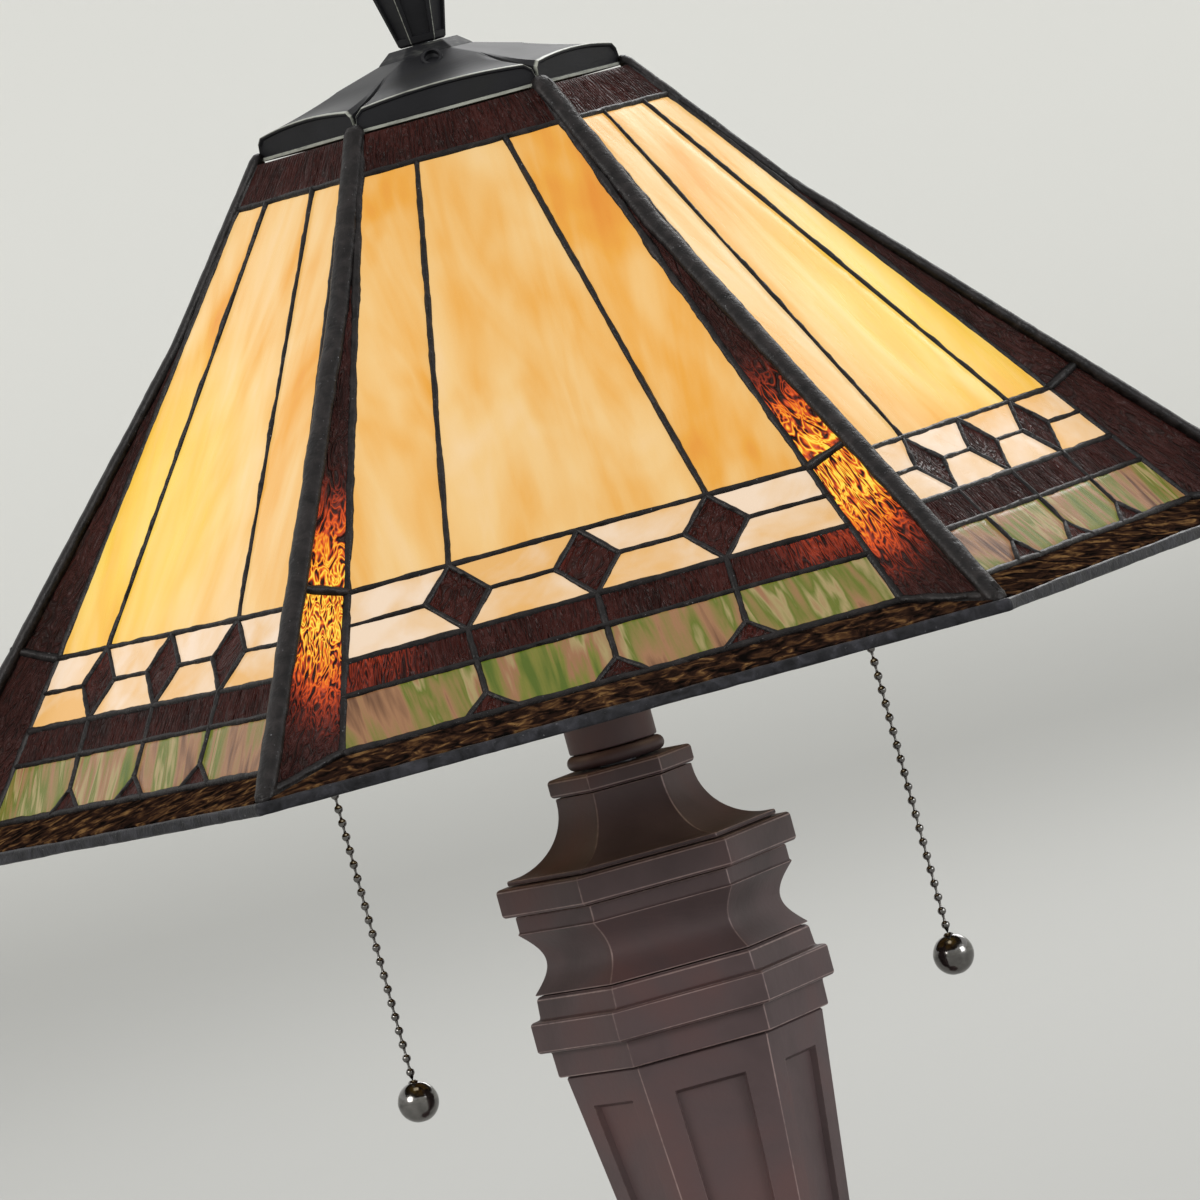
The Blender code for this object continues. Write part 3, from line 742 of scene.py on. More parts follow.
def bead(shell, path, normal, half_width, half_height, seed, wander=0.07, spacing=1.7, sides=10, sunk=0.0):
    """A lumpy rounded lead along a line of points: ellipse sections that shrink to a point at both ends.

    Section radius = (half_width cos a, half_height sin a) (1 + noise), and a half-circle fall at each end.
    """
    path = np.asarray(path, float)
    legs = np.linalg.norm(np.diff(path, axis=0), axis=1)
    along = np.concatenate([[0.0], np.cumsum(legs)])
    total = along[-1]
    count = max(7, int(total / spacing) + 3)
    end = min(half_width, total * 0.3)
    inner = np.linspace(0.0, total, count)
    places = np.unique(np.concatenate([[-end], -end * np.array([0.92, 0.6]), inner,
                                       total + end * np.array([0.6, 0.92]), [total + end]]))
    clipped = np.clip(places, 0.0, total)
    line = np.stack([np.interp(clipped, along, path[:, i]) for i in range(3)], -1)
    start_way = (path[1] - path[0]) / legs[0]
    end_way = (path[-1] - path[-2]) / legs[-1]
    line += start_way * np.minimum(places, 0.0)[:, None] + end_way * np.maximum(places - total, 0.0)[:, None]
    beyond = np.maximum(np.maximum(-places, places - total), 0.0) / end
    fall = np.sqrt(np.clip(1.0 - beyond ** 2, 0.0, 1.0))
    way = np.gradient(line, axis=0)
    way /= np.linalg.norm(way, axis=1)[:, None]
    normal = np.broadcast_to(np.asarray(normal, float), line.shape)
    side = np.cross(way, normal)
    side /= np.linalg.norm(side, axis=1)[:, None]
    up = np.cross(side, way)
    angle = np.arange(sides) / sides * TAU
    swell = 1.0 + wander * smooth_noise(len(places), seed, 3)
    drift = half_width * wander * 0.8 * smooth_noise(len(places), seed + 7, 4)
    bumps = 1.0 + wander * 0.7 * np.random.default_rng(seed + 3).uniform(-1, 1, (len(places), sides))
    radius = (fall * swell)[:, None] * bumps
    rings = (line + side * (drift * fall)[:, None] - up * sunk)[:, None]
    rings = rings + side[:, None] * (half_width * radius * np.cos(angle))[..., None]
    rings = rings + up[:, None] * (half_height * radius * np.sin(angle))[..., None]
    poled(shell, rings)


# ---------------------------------------------------------------- one face of the shade

def joints():
    """Where the diamonds and the short leads stand, from left to right."""
    spacing = shade_settings().spacing
    return [-spacing, 0.0, spacing]


def level_edges(up):
    """Ends of the four pieces of a row at a height: the panel's two sides and the joints between."""
    return [-panel_half(up)] + joints() + [panel_half(up)]


def pane_lead(up):
    """Distance from the middle to a long lead, at a height: straight from the diamond's tip to the band."""
    settings = shade_settings()
    share = (up - settings.pane_foot) / (settings.band_foot - settings.pane_foot)
    return settings.spacing + (settings.pane_lead_top - settings.spacing) * share


def pane_pieces():
    """Corners of the three long panes, from left to right."""
    settings = shade_settings()
    low, high = settings.pane_foot, settings.band_foot
    inner_low, inner_high = pane_lead(low), pane_lead(high)
    middle = [(-inner_low, low), (inner_low, low), (inner_high, high), (-inner_high, high)]
    right = [(inner_low, low), (panel_half(low), low), (panel_half(high), high), (inner_high, high)]
    left = [(-x, up) for x, up in right][::-1]
    return left, middle, right


def diamond_corners(x):
    settings = shade_settings()
    return [(x, settings.pale_foot), (x + settings.diamond_half, settings.diamond_middle),
            (x, settings.pane_foot), (x - settings.diamond_half, settings.diamond_middle)]


def pale_pieces():
    """The pale pieces above and below the middle lead, shaped by the diamonds between them."""
    settings = shade_settings()
    middle, half = settings.diamond_middle, settings.diamond_half
    left = [-panel_half(middle)] + [x + half for x in joints()]
    right = [x - half for x in joints()] + [panel_half(middle)]
    pieces = []
    for level in (settings.pale_foot, settings.pane_foot):
        edges = level_edges(level)
        for i in range(4):
            ring = [(edges[i], level), (edges[i + 1], level), (right[i], middle), (left[i], middle)]
            pieces.append(ring if level < middle else ring[::-1])
    return pieces


def brown_pieces():
    """The four pieces of the dark strip under the diamonds."""
    low, high = shade_settings().brown_foot, shade_settings().pale_foot
    feet, tops = level_edges(low), level_edges(high)
    return [[(feet[i], low), (feet[i + 1], low), (tops[i + 1], high), (tops[i], high)] for i in range(4)]


def olive_pieces():
    """Four pieces whose lower corners are cut where the small triangles stand."""
    settings = shade_settings()
    low, high, cut = settings.panel_foot, settings.brown_foot, settings.chamfer
    rise = cut * TRIANGLE_RISE
    feet, tops = level_edges(low), level_edges(high)
    pieces = []
    for i in range(4):
        left = [(feet[i], low)] if i == 0 else [(feet[i], low + rise), (feet[i] + cut, low)]
        right = [(feet[i + 1], low)] if i == 3 else [(feet[i + 1] - cut, low), (feet[i + 1], low + rise)]
        pieces.append(left + right + [(tops[i + 1], high), (tops[i], high)])
    return pieces


def triangle_pieces():
    low, cut = shade_settings().panel_foot, shade_settings().chamfer
    return [[(x - cut, low), (x + cut, low), (x, low + cut * TRIANGLE_RISE)] for x in joints()]


def face_leads():
    """Every lead line of a face as ((across, height), ...) with its width."""
    settings = shade_settings()
    fine, edge = settings.lead, settings.edge_lead
    low, brown, pale = settings.panel_foot, settings.brown_foot, settings.pale_foot
    middle, pane = settings.diamond_middle, settings.pane_foot
    band, top = settings.band_foot, settings.panel_top
    half, rise = settings.diamond_half, settings.chamfer * TRIANGLE_RISE
    lines = []
    for level, width in ((low, fine * 1.25), (brown, fine), (pale, fine * 1.15), (pane, fine), (band, fine)):
        reach = panel_half(level)
        lines.append(([(-reach, level), (reach, level)], width))
    stops = [-panel_half(middle)]
    for x in joints():
        stops.extend([x - half, x + half])
    stops.append(panel_half(middle))
    for i in range(0, len(stops), 2):
        lines.append(([(stops[i], middle), (stops[i + 1], middle)], fine * 0.85))
    for x in joints():
        ring = diamond_corners(x)
        for a, b in zip(ring, ring[1:] + ring[:1]):
            lines.append(([a, b], fine * 0.95))
        lines.append(([(x, brown), (x, pale)], fine * 1.1))
        lines.append(([(x, low + rise), (x, brown)], fine))
        lines.append(([(x - settings.chamfer, low), (x, low + rise)], fine * 0.9))
        lines.append(([(x + settings.chamfer, low), (x, low + rise)], fine * 0.9))
    for sign in (-1.0, 1.0):
        lines.append(([(sign * pane_lead(pane), pane), (sign * pane_lead(band), band)], fine * 0.95))
        lines.append(([(sign * panel_half(low), low), (sign * panel_half(top), top)], edge))
    return lines


def face_normal(turn):
    fall = shade_settings().panel_fall
    normal = np.array([0.0, -1.0, fall]) / math.hypot(1.0, fall)
    return turn_points(normal, turn)


PANE_TINTS = {
    "front": (0.62, 0.30, 0.78),
    "front_left": (0.66, 0.44, 0.58),
    "front_right": (0.40, 0.62, 0.66),
    "back": (0.40, 0.60, 0.45),
    "back_left": (0.55, 0.38, 0.70),
    "back_right": (0.72, 0.46, 0.36),
}


def add_panel_glass(label, number):
    """All the cut glass of one flat panel, one object for each kind.

    Each kind has its pieces' corners, their tints, how far its streaks lean, and its number for the draws.
    """
    turn = math.radians(60.0 * number)
    seed = 100 * number
    pale = np.random.default_rng(seed + 11).uniform(0.15, 0.85, 8)
    olive = np.random.default_rng(seed + 12).uniform(0.25, 0.85, 4)
    ruby = [diamond_corners(x) for x in joints()] + triangle_pieces()
    kinds = (
        ("opal_panes", "opal", "opal_glass", pane_pieces(), PANE_TINTS[label], (-0.1, 0.0, 0.1), 0),
        ("pale_pieces", "pale", "opal_glass", pale_pieces(), pale, [1.3] * 8, 20),
        ("diamonds", "ruby", "amber_glass", ruby, [0.5] * 6, [0.5] * 6, 40),
        ("olive_pieces", "olive", "opal_glass", olive_pieces(), olive, [-0.15] * 4, 50),
    )
    for name, material, slot, rings, tints, leans, first in kinds:
        shell = Shell()
        for i, (ring, tint, lean) in enumerate(zip(rings, tints, leans)):
            cut_piece(shell, ring, turn, seed + first + i, tint, lean)
        yield shell.build(f"{name}_{label}", material), slot
    yield ribbed_strips(label, turn, seed), "brown_glass"


def ribbed_strips(label, turn, seed):
    """The dark strip under the diamonds and the band under the cap, with fine upright ribs in the glass.

    Rib height = amplitude * |sin(pi t / pitch + wander)|, where t runs across the piece.
    """
    shell = Shell()
    rings = brown_pieces()
    settings = shade_settings()
    band, top = settings.band_foot, settings.panel_top
    low_half, high_half = panel_half(band), panel_half(top)
    rings.append([(-low_half, band), (low_half, band), (high_half, top), (-high_half, top)])
    for i, ring in enumerate(rings):
        width = ring[1][0] - ring[0][0]
        ribs = width / 1.5
        wander = smooth_noise(64, seed + i, 6)

        def relief(s, t, ribs=ribs, wander=wander):
            drift = np.interp(t, np.linspace(0.0, 1.0, 64), wander)
            lean = np.sin(s * 5.0 + drift * 2.0)
            return 0.42 * np.abs(np.sin(math.pi * (t * ribs + 0.4 * lean + drift))) - 0.2

        corners = [face_points(x, up) for x, up in ring]
        columns = int(ribs * 5) + 2
        relief_patch(shell, turn_points(np.array(corners), turn), 7, columns, relief, seed + 60 + i,
                     settings.glass)
    return shell.build(f"ribbed_strips_{label}", "ribbed")


def add_panel_leads(label, number):
    """The leads of a flat panel: one lumpy bead for each line, standing a little proud on both sides."""
    turn = math.radians(60.0 * number)
    normal = face_normal(turn)
    shell = Shell()
    depth = shade_settings().glass * 0.5
    for i, (line, width) in enumerate(face_leads()):
        flat = np.array(line)
        path = turn_points(face_points(flat[:, 0], flat[:, 1], -depth), turn)
        bead(shell, path, normal, width / 2, depth + 0.7, 1000 * number + 13 * i)
    return shell.build(f"leads_{label}", "solder", 60.0)


# ---------------------------------------------------------------- folded corners

def corner_frame_edge(up, sign):
    """A point of the panel's edge, in a frame where the folded corner points to -Y."""
    half = panel_half(up)
    apothem = panel_apothem(up)
    return np.array([sign * (0.5 * apothem - COS_30 * half), -(0.5 * half + COS_30 * apothem), RIM_Z + up])


def ridge_point(up):
    kink = kink_up()
    radius = ridge_radius(up) if up < kink else panel_apothem(up) / COS_30
    return np.array([0.0, -float(radius), RIM_Z + up])


def add_hip(label, number):
    """The rippled glass on both sides of a folded corner, two pieces a side, and the leads round them."""
    settings = shade_settings()
    turn = math.radians(30.0 + 60.0 * number)
    foot, kink, top = settings.panel_foot, kink_up(), settings.panel_top - 8.0
    cross_edge, cross_ridge = settings.pane_foot, settings.pane_foot + 5.0
    ridge_foot = float(RIM_HIGH[2] - RIM_LOW[2]) + 1.2
    glass, leads = Shell(), Shell()
    cuts = [(foot, ridge_foot), (cross_edge, cross_ridge), (kink, kink), (top, top)]
    for sign in (-1.0, 1.0):
        seed = 5000 + 100 * number + (0 if sign < 0 else 50)
        for i in range(3):
            (edge_low, ridge_low), (edge_high, ridge_high) = cuts[i], cuts[i + 1]
            quad = [corner_frame_edge(edge_low, sign), ridge_point(ridge_low), ridge_point(ridge_high),
                    corner_frame_edge(edge_high, sign)]
            if sign > 0:
                quad = [quad[1], quad[0], quad[3], quad[2]]
            ripple_patch(glass, turn_points(np.array(quad), turn), seed + i, (44, 64, 30)[i])
        edge = [corner_frame_edge(foot, sign), ridge_point(ridge_foot)]
        cross = [corner_frame_edge(cross_edge, sign), ridge_point(cross_ridge)]
        outward = turn_points(np.array([sign * 0.9, -0.4, 0.3]), turn)
        for j, line in enumerate((edge, cross)):
            path = turn_points(np.array(line), turn)
            bead(leads, path, outward, settings.lead * 0.62, 1.9, seed + 20 + j, wander=0.1, sunk=0.6)
    add_ridge_lead(leads, turn, ridge_foot, 7000 + 100 * number)
    return glass.build(f"hip_glass_{label}", "amber"), leads.build(f"ridge_lead_{label}", "solder", 60.0)


def ripple_patch(shell, quad, seed, rows):
    """Hammered glass: a sum of crossing waves whose phase wanders, about 0.2 mm high."""
    random = np.random.default_rng(seed)
    phases = random.uniform(0.0, TAU, 6)

    def relief(s, t):
        wave = np.sin(9.0 * t + 3.1 * np.sin(14.0 * s + phases[0]) + phases[1])
        wave += np.sin(34.0 * s + 2.4 * np.sin(8.0 * t + phases[2]) + phases[3])
        wave += 0.6 * np.sin(61.0 * s + 13.0 * t + phases[4])
        return 0.09 * wave

    relief_patch(shell, quad, rows, 14, relief, seed, 1.4)


def add_ridge_lead(shell, turn, foot, seed):
    """The soldered ridge from the rim's corner to the cap, heavier at its foot, with blobs at both ends."""
    settings = shade_settings()
    kink = kink_up()
    levels = np.concatenate([np.linspace(foot, kink, 12), np.linspace(kink, settings.panel_top + 0.5, 5)[1:]])
    inset = settings.ridge_lead * 0.18
    path = np.array([ridge_point(float(level)) + np.array([0.0, inset, 0.0]) for level in levels])
    normal = turn_points(np.array([0.0, -0.73, 0.68]), turn)
    bead(shell, turn_points(path, turn), normal, settings.ridge_lead / 2, 2.0, seed, wander=0.035, sides=14)
    for i, (level, size) in enumerate(((foot + 0.5, 3.6), (settings.panel_top - 1.0, 3.4))):
        centre = ridge_point(float(level)) + np.array([0.0, inset + 1.2, 0.0])
        path = np.array([centre - [size * 0.5, 0, 0.4], centre, centre + [size * 0.5, 0, 0.5]])
        bead(shell, turn_points(path, turn), normal, size * 0.62, size * 0.6, seed + 31 + i, wander=0.3)


def add_border(label, number):
    """The speckled strip that flares from a panel's foot to the rim."""
    settings = shade_settings()
    turn = math.radians(60.0 * number)
    depth = float(RIM_HIGH[2] - RIM_LOW[2])
    inner, outer = float(panel_apothem(settings.panel_foot)) + 0.4, RIM_RADIUS * COS_30 - 1.6
    low, high = RIM_Z + depth + 0.4, RIM_Z + settings.panel_foot - 0.8
    quad = [(-(outer * TAN_30 - 3.0), -outer, low), (outer * TAN_30 - 3.0, -outer, low),
            (settings.panel_foot_half, -inner, high), (-settings.panel_foot_half, -inner, high)]

    def relief(s, t):
        return 0.18 * np.sin(70.0 * t + 4.0 * s) + 0.12 * np.sin(151.0 * t + 9.0 * s)

    shell = Shell()
    relief_patch(shell, turn_points(np.array(quad), turn), 7, 90, relief, 300 + number, 1.4)
    return shell.build(f"border_glass_{label}", "border")


def add_rim():
    """The metal channel along the rim: a rounded rectangle carried round the hexagon, with lumpy solder.

    Each side's points are displaced by a small seeded wander, and the corners swell into blobs.
    """
    depth = float(RIM_HIGH[2] - RIM_LOW[2])
    low = RIM_Z
    profile = [(RIM_RADIUS, low + depth), (RIM_RADIUS, low), (RIM_RADIUS - 4.8, low),
               (RIM_RADIUS - 4.8, low + depth)]
    section, _ = soften(profile, 0.9, 4)
    rings = hexagon_rings(section, 1.2, np.linspace(-0.96, 0.96, 60))
    rough = np.random.default_rng(77).uniform(-1.0, 1.0, rings.shape[:2])
    slow = smooth_noise(rings.shape[1], 5, 5)
    centre = rings.mean(0)
    rings = centre + (rings - centre) * (1.0 + 0.05 * rough + 0.06 * slow)[..., None]
    angle = np.arctan2(centre[:, 1], centre[:, 0])
    corner = np.abs((angle / math.radians(60.0) + 0.5) % 1.0 - 0.5) * 60.0
    swell = 1.0 + 0.25 * np.exp(-(corner / 0.9) ** 2)
    rings = centre + (rings - centre) * np.stack([swell, swell, np.ones_like(swell)], -1)[None]
    shrink = np.minimum(1.0, (RIM_RADIUS + 0.8) / np.linalg.norm(rings[..., :2], axis=-1))
    rings[..., :2] *= shrink[..., None]
    rings[..., 2] = np.maximum(rings[..., 2], low)
    shell = Shell()
    shell.add(rings.reshape(-1, 3), grid_quads(*rings.shape[:2], wrap_rows=True))
    return shell.build("rim_lead", "rim", 50.0)


# ---------------------------------------------------------------- hexagonal bronze

def soften(profile, radius, steps):
    """A closed outline with each corner replaced by a short quadratic curve.

    Each corner P gives (1-t)^2 A + 2t(1-t) P + t^2 B, where A and B lie `radius` along its two edges. Also
    returns 1 at the middle of each outward corner, falling to 0 at its ends.
    """
    points = np.asarray(profile, float)
    before, after = np.roll(points, 1, axis=0) - points, np.roll(points, -1, axis=0) - points
    length_before, length_after = np.linalg.norm(before, axis=1), np.linalg.norm(after, axis=1)
    reach = np.minimum(radius, 0.42 * np.minimum(length_before, length_after))
    reach = np.where(points[:, 0] > 0.0, reach, 0.0)
    a = points + before * (reach / length_before)[:, None]
    b = points + after * (reach / length_after)[:, None]
    t = np.linspace(0.0, 1.0, steps)[None, :, None]
    curve = (1 - t) ** 2 * a[:, None] + 2 * t * (1 - t) * points[:, None] + t ** 2 * b[:, None]
    turned = before[:, 0] * after[:, 1] - before[:, 1] * after[:, 0]
    outward = (turned * polygon_sign(points) < 0).astype(float)
    sharp = np.clip(reach / 0.3, 0.0, 1.0) * outward
    # Outward corners marked as rubbed metal and with a painted highlight.
    wear = sharp[:, None] * np.sin(np.linspace(0.0, math.pi, steps))[None]
    return curve.reshape(-1, 2), wear.ravel()


def polygon_sign(points):
    x, y = points[:, 0], points[:, 1]
    return np.sign((x * np.roll(y, -1) - np.roll(x, -1) * y).sum())


def hexagon_rings(section, rounding, side):
    """Rings of points for a (radius, height) section: each ring a regular hexagon with rounded corners.

    A corner is an arc of the rounding radius over 60 degrees about a point on the corner's ray; a side holds
    the given shares of its half length. Returns (section rows, ring points, 3).
    """
    radius, height = np.asarray(section, float).T
    rounding = np.minimum(rounding, radius * 0.25)
    arcs = np.radians(np.linspace(-30.0, 30.0, 5))
    centre = radius - rounding / COS_30
    apothem = (radius * COS_30)[:, None]
    limit = (radius * 0.5 - rounding * TAN_30)[:, None] * 0.98
    reach = np.clip((radius * 0.5)[:, None] * np.asarray(side)[None], -limit, limit)
    blocks = []
    for corner in range(6):
        ray = math.radians(60.0 * corner)
        x = centre[:, None] * math.cos(ray) + rounding[:, None] * np.cos(ray + arcs)
        y = centre[:, None] * math.sin(ray) + rounding[:, None] * np.sin(ray + arcs)
        blocks.append(np.stack([x, y], -1))
        middle = ray + math.radians(30.0)
        blocks.append(np.stack([apothem * math.cos(middle) - reach * math.sin(middle),
                                apothem * math.sin(middle) + reach * math.cos(middle)], -1))
    flat = np.concatenate(blocks, axis=1)
    level = np.broadcast_to(height[:, None, None], (*flat.shape[:2], 1))
    return np.concatenate([flat, level], -1)


def corner_wear_and_highlight(side_count):
    """1 on the rounded corners of a ring made by hexagon_rings, and 0 along its sides."""
    one = np.concatenate([np.sin(np.linspace(0.2, math.pi - 0.2, 5)), np.zeros(side_count)])
    return np.tile(one, 6)


def hexagonal_piece(name, profile, rounding=0.9, edge=0.7, material="bronze"):
    """A closed hexagonal moulding with softened corners and edges, marked along them as rubbed and painted
    highlight.
    """
    side = (-0.8, -0.4, 0.0, 0.4, 0.8)
    section, edge_wear_and_highlight = soften([(radius, RIM_Z + up) for radius, up in profile], edge, 5)
    on_axis = profile[0][0] == 0.0
    if on_axis:
        section, edge_wear_and_highlight = section[4:-4], edge_wear_and_highlight[4:-4]
    rings = hexagon_rings(section, rounding, side)
    wear = np.maximum(edge_wear_and_highlight[:, None], corner_wear_and_highlight(len(side))[None] * 0.85)
    shell = Shell()
    if on_axis:
        poled(shell, rings, wear=wear)
    else:
        shell.add(rings.reshape(-1, 3), grid_quads(*rings.shape[:2], wrap_rows=True), wear=wear.ravel())
    return shell.build(name, material, 30.0)


def sweep(low_radius, low, high_radius, high, steps):
    """A concave quarter-ellipse, from its upright top down to its level foot."""
    angle = np.linspace(math.pi / 2, 0.0, steps)
    radius = low_radius - (low_radius - high_radius) * np.sin(angle)
    return list(zip(radius, low + (high - low) * (1.0 - np.cos(angle))))


def recessed_taper(name, low_radius, high_radius, low, high, side_share, end_margin, depth, rounding,
                   material):
    """A hexagonal taper with one sunk panel on each facet and a small bevel round each panel.

    A facet's point is pushed in by depth where its share of the half width and its height lie inside the
    panel's edges. The ends close on the axis.
    """
    edge = 1.0 - 2.0 * side_share
    bevel = 0.035
    side = np.array([-edge - bevel, -edge, -edge + bevel, 0.0, edge - bevel, edge, edge + bevel])
    step = (high - low) * 0.004 + 0.3
    inner = np.linspace(low + end_margin + step, high - end_margin - step, 12)
    heights = np.concatenate([[low, low + 0.5, low + end_margin - step, low + end_margin], inner,
                              [high - end_margin, high - end_margin + step, high - 0.5, high]])
    radius = low_radius + (high_radius - low_radius) * (heights - low) / (high - low)
    radius[[0, -1]] -= 0.5
    rings = hexagon_rings(np.stack([radius, heights + RIM_Z], -1), rounding, side)
    sunk = np.zeros(rings.shape[:2])
    inside = (heights > low + end_margin + 0.5 * step) & (heights < high - end_margin - 0.5 * step)
    one = np.concatenate([np.zeros(5), [0.0, 0.0, 1.0, 1.0, 1.0, 0.0, 0.0]])
    sunk[inside] = np.tile(one, 6)
    facet = np.repeat(np.radians(30.0 + 60.0 * np.arange(6)), 12)
    rings[..., 0] -= depth * sunk * np.cos(facet)
    rings[..., 1] -= depth * sunk * np.sin(facet)
    # Marks for rubbed metal and a painted highlight: the corners and the bevels round each sunk panel.
    edges = np.tile(np.concatenate([np.zeros(5), [0.2, 0.9, 0.0, 0.0, 0.0, 0.9, 0.2]]), 6)
    panel_rows = (heights >= low + end_margin - 0.5 * step) & (heights <= high - end_margin + 0.5 * step)
    wear = np.maximum(corner_wear_and_highlight(7)[None] * 0.9, edges[None] * panel_rows[:, None] * 0.7)
    caps = np.stack([rings[0].mean(0), rings[-1].mean(0)])
    full = np.concatenate([np.broadcast_to(caps[0], rings[:1].shape), rings,
                           np.broadcast_to(caps[1], rings[:1].shape)])
    wear = np.concatenate([wear[:1] * 0, wear, wear[-1:] * 0])
    shell = Shell()
    poled(shell, full, wear=wear)
    return shell.build(name, material, 30.0)


def round_piece(name, profile, material, at=(0.0, 0.0), steps=48, edge=0.35, ripple=None):
    """A profile of (radius, height above the rim) turned about an upright axis.

    A profile that starts on the axis also ends on it and closes in two poles; any other closes on itself.
    """
    points = np.array([(radius, RIM_Z + up) for radius, up in profile], float)
    closed = points[0, 0] > 0.0
    if edge:
        points, _ = soften(points, edge, 4)
        points = points if closed else points[3:-3]
    angle = np.arange(steps) / steps * TAU
    radius = points[:, :1] * np.ones(steps)
    height = points[:, 1:] * np.ones(steps)
    if ripple is not None:
        radius = radius + ripple(radius, height, angle[None])
    rings = np.stack([at[0] + radius * np.cos(angle), at[1] + radius * np.sin(angle), height], -1)
    shell = Shell()
    if closed:
        shell.add(rings.reshape(-1, 3), grid_quads(*rings.shape[:2], wrap_rows=True))
    else:
        poled(shell, rings)
    return shell.build(name, material, 40.0)


# ---------------------------------------------------------------- cap and finial

def arch_height(across):
    """Height of the cap's arched lobe: 8.2 in a side's middle, 6.4 near its ends, pinched at the corner."""
    share = np.abs(across)
    return (8.2 - 1.8 * share ** 2) * (1.0 - 0.6 * np.clip((share - 0.93) / 0.07, 0.0, 1.0) ** 2)


def add_cap_roof():
    """Six hollow-cambered facets that end in an arched, double-edged lobe along each side.

    Each column of the hexagon has its own lobe height h(t); the roof runs straight from the boss to that
    height, sunk by 1.2 sin(pi s) on the way.
    """
    side = np.linspace(-0.97, 0.97, 25)
    across = np.tile(np.concatenate([np.ones(5), side]), 6)
    arch = arch_height(across)
    low = 165.5
    share = np.linspace(0.0, 1.0, 9)[:, None]
    roof_radius = 26.6 + (51.0 - 26.6) * share + 0.0 * arch
    start = 178.7
    sag = 1.2 * np.sin(math.pi * share) * (1.0 - 0.8 * across ** 2)
    roof = start + (low + arch - start) * share - sag
    lip = [(51.7, -0.25), (51.6, -0.9), (50.9, -1.25)]
    foot = [(50.9, 1.3), (51.7, 0.9), (51.8, 0.15), (51.2, 0.0), (49.7, 0.0)]
    inner = [(49.0, 167.2), (25.6, 177.0), (12.5, 180.6), (6.2, 180.6), (6.2, 185.3)]
    boss = [(9.9, 185.3), (10.4, 184.9), (13.0, 182.9), (13.6, 182.3)]
    rows = [(radius, np.full_like(arch, level)) for radius, level in boss]
    rows += [(float(roof_radius[i, 0]), roof[i]) for i in range(len(share))]
    rows += [(radius, low + arch + drop) for radius, drop in lip]
    rows += [(radius, np.full_like(arch, low + rise)) for radius, rise in foot]
    rows += [(radius, np.full_like(arch, level)) for radius, level in inner]
    radius = np.array([row[0] for row in rows])
    level = np.array([row[1] for row in rows])
    rings = hexagon_rings(np.stack([radius, np.zeros(len(rows))], -1), 1.0, side)
    rings[..., 2] = RIM_Z + level
    # Marks for pale edges: painted highlight lines along each lobe's top and foot, fainter on the boss and
    # roof corners.
    wear = np.zeros(rings.shape[:2])
    first_lip = len(boss) + len(share)
    wear[first_lip - 1:first_lip + 1] = 0.95
    wear[first_lip + 4:first_lip + 6] = 0.9
    wear[:4] = 0.6
    wear[:first_lip] = np.maximum(wear[:first_lip], corner_wear_and_highlight(len(side))[None] * 0.6)
    shell = Shell()
    shell.add(rings.reshape(-1, 3), grid_quads(*rings.shape[:2], wrap_rows=True), wear=wear.ravel())
    return shell.build("cap_roof", "black", 24.0)


def add_cap_vent():
    """A grommet round the vent hole in the boss, with a deep dark eye."""
    profile = [(0.0, -2.6), (2.0, -2.6), (2.1, 0.1), (2.4, 0.3), (2.9, 0.1), (3.0, -0.5), (0.0, -3.2)]
    angle = np.arange(20) / 20 * TAU
    radius, height = np.array(profile).T
    local = np.stack([radius[:, None] * np.cos(angle), radius[:, None] * np.sin(angle),
                      height[:, None] + 0.0 * angle], -1)
    tilt = Matrix.Rotation(math.radians(52.0), 3, "X")
    place = np.array([0.6, -18.6, RIM_Z + 181.2])
    rings = local @ np.array(tilt).T + place
    shell = Shell()
    poled(shell, rings, flip=True)
    return shell.build("cap_vent", "black", 40.0)


# ---------------------------------------------------------------- lights and chains

def bulb_outline():
    """Pear: a smooth swell from the neck to the ball, then a quarter circle to the tip."""
    share = np.linspace(0.0, 1.0, 12)
    blend = share * share * (3.0 - 2.0 * share)
    neck = [(13.2 + 10.8 * b, 77.6 - 41.6 * s) for s, b in zip(share, blend)]
    arc = np.radians(np.linspace(-8.0, -90.0, 12))
    ball = [(24.0 * math.cos(a), 36.0 + 24.0 * math.sin(a)) for a in arc]
    ball[-1] = (0.0, 12.0)
    return [(0.0, 77.6)] + neck + ball


def add_light(side, label):
    """The bulb, its threaded cap, and the socket's cap and shell, by the names of their CAD nodes."""
    at = (side * glow().bulb_x, 0.0)
    made = {}
    made["bulb_glass"] = round_piece(f"bulb_{label}", bulb_outline(), "bulb", at, edge=0.0)

    def thread(radius, height, angle):
        inside = (radius > 12.0) & (height < RIM_Z + 96.0) & (height > RIM_Z + 78.2)
        return inside * 0.45 * np.sin(TAU * (height - RIM_Z) / 3.6 + angle)

    levels = np.linspace(95.5, 78.5, 26)
    shell = [(0.0, 101.9), (4.0, 101.9), (6.0, 99.9), (12.2, 96.2)] + [(12.6, up) for up in levels]
    made["bulb_cap"] = round_piece(f"bulb_thread_{label}", shell + [(12.2, 77.9), (0.0, 77.9)], "thread", at,
                                   edge=0.0, ripple=thread)
    dome = [(0.0, 112.0), (5.0, 112.0), (6.2, 111.7), (8.0, 111.5), (11.0, 110.8), (13.5, 109.6), (15.5,
                                                                                                   108.0),
            (16.8, 106.6), (17.5, 105.4), (17.5, 104.3), (0.0, 104.3)]
    made["socket_cap"] = round_piece(f"socket_cap_skin_{label}", dome, "socket", at, edge=0.25)
    tube = [(16.9, 104.0), (16.9, 101.0), (17.4, 100.2), (17.4, 98.8), (16.9, 98.0), (16.9, 79.4), (17.3,
                                                                                                    78.6),
            (17.3, 76.0), (15.9, 76.0), (15.9, 104.0)]
    made["socket_shell"] = round_piece(f"socket_shell_skin_{label}", tube, "socket", at, edge=0.4)
    return made


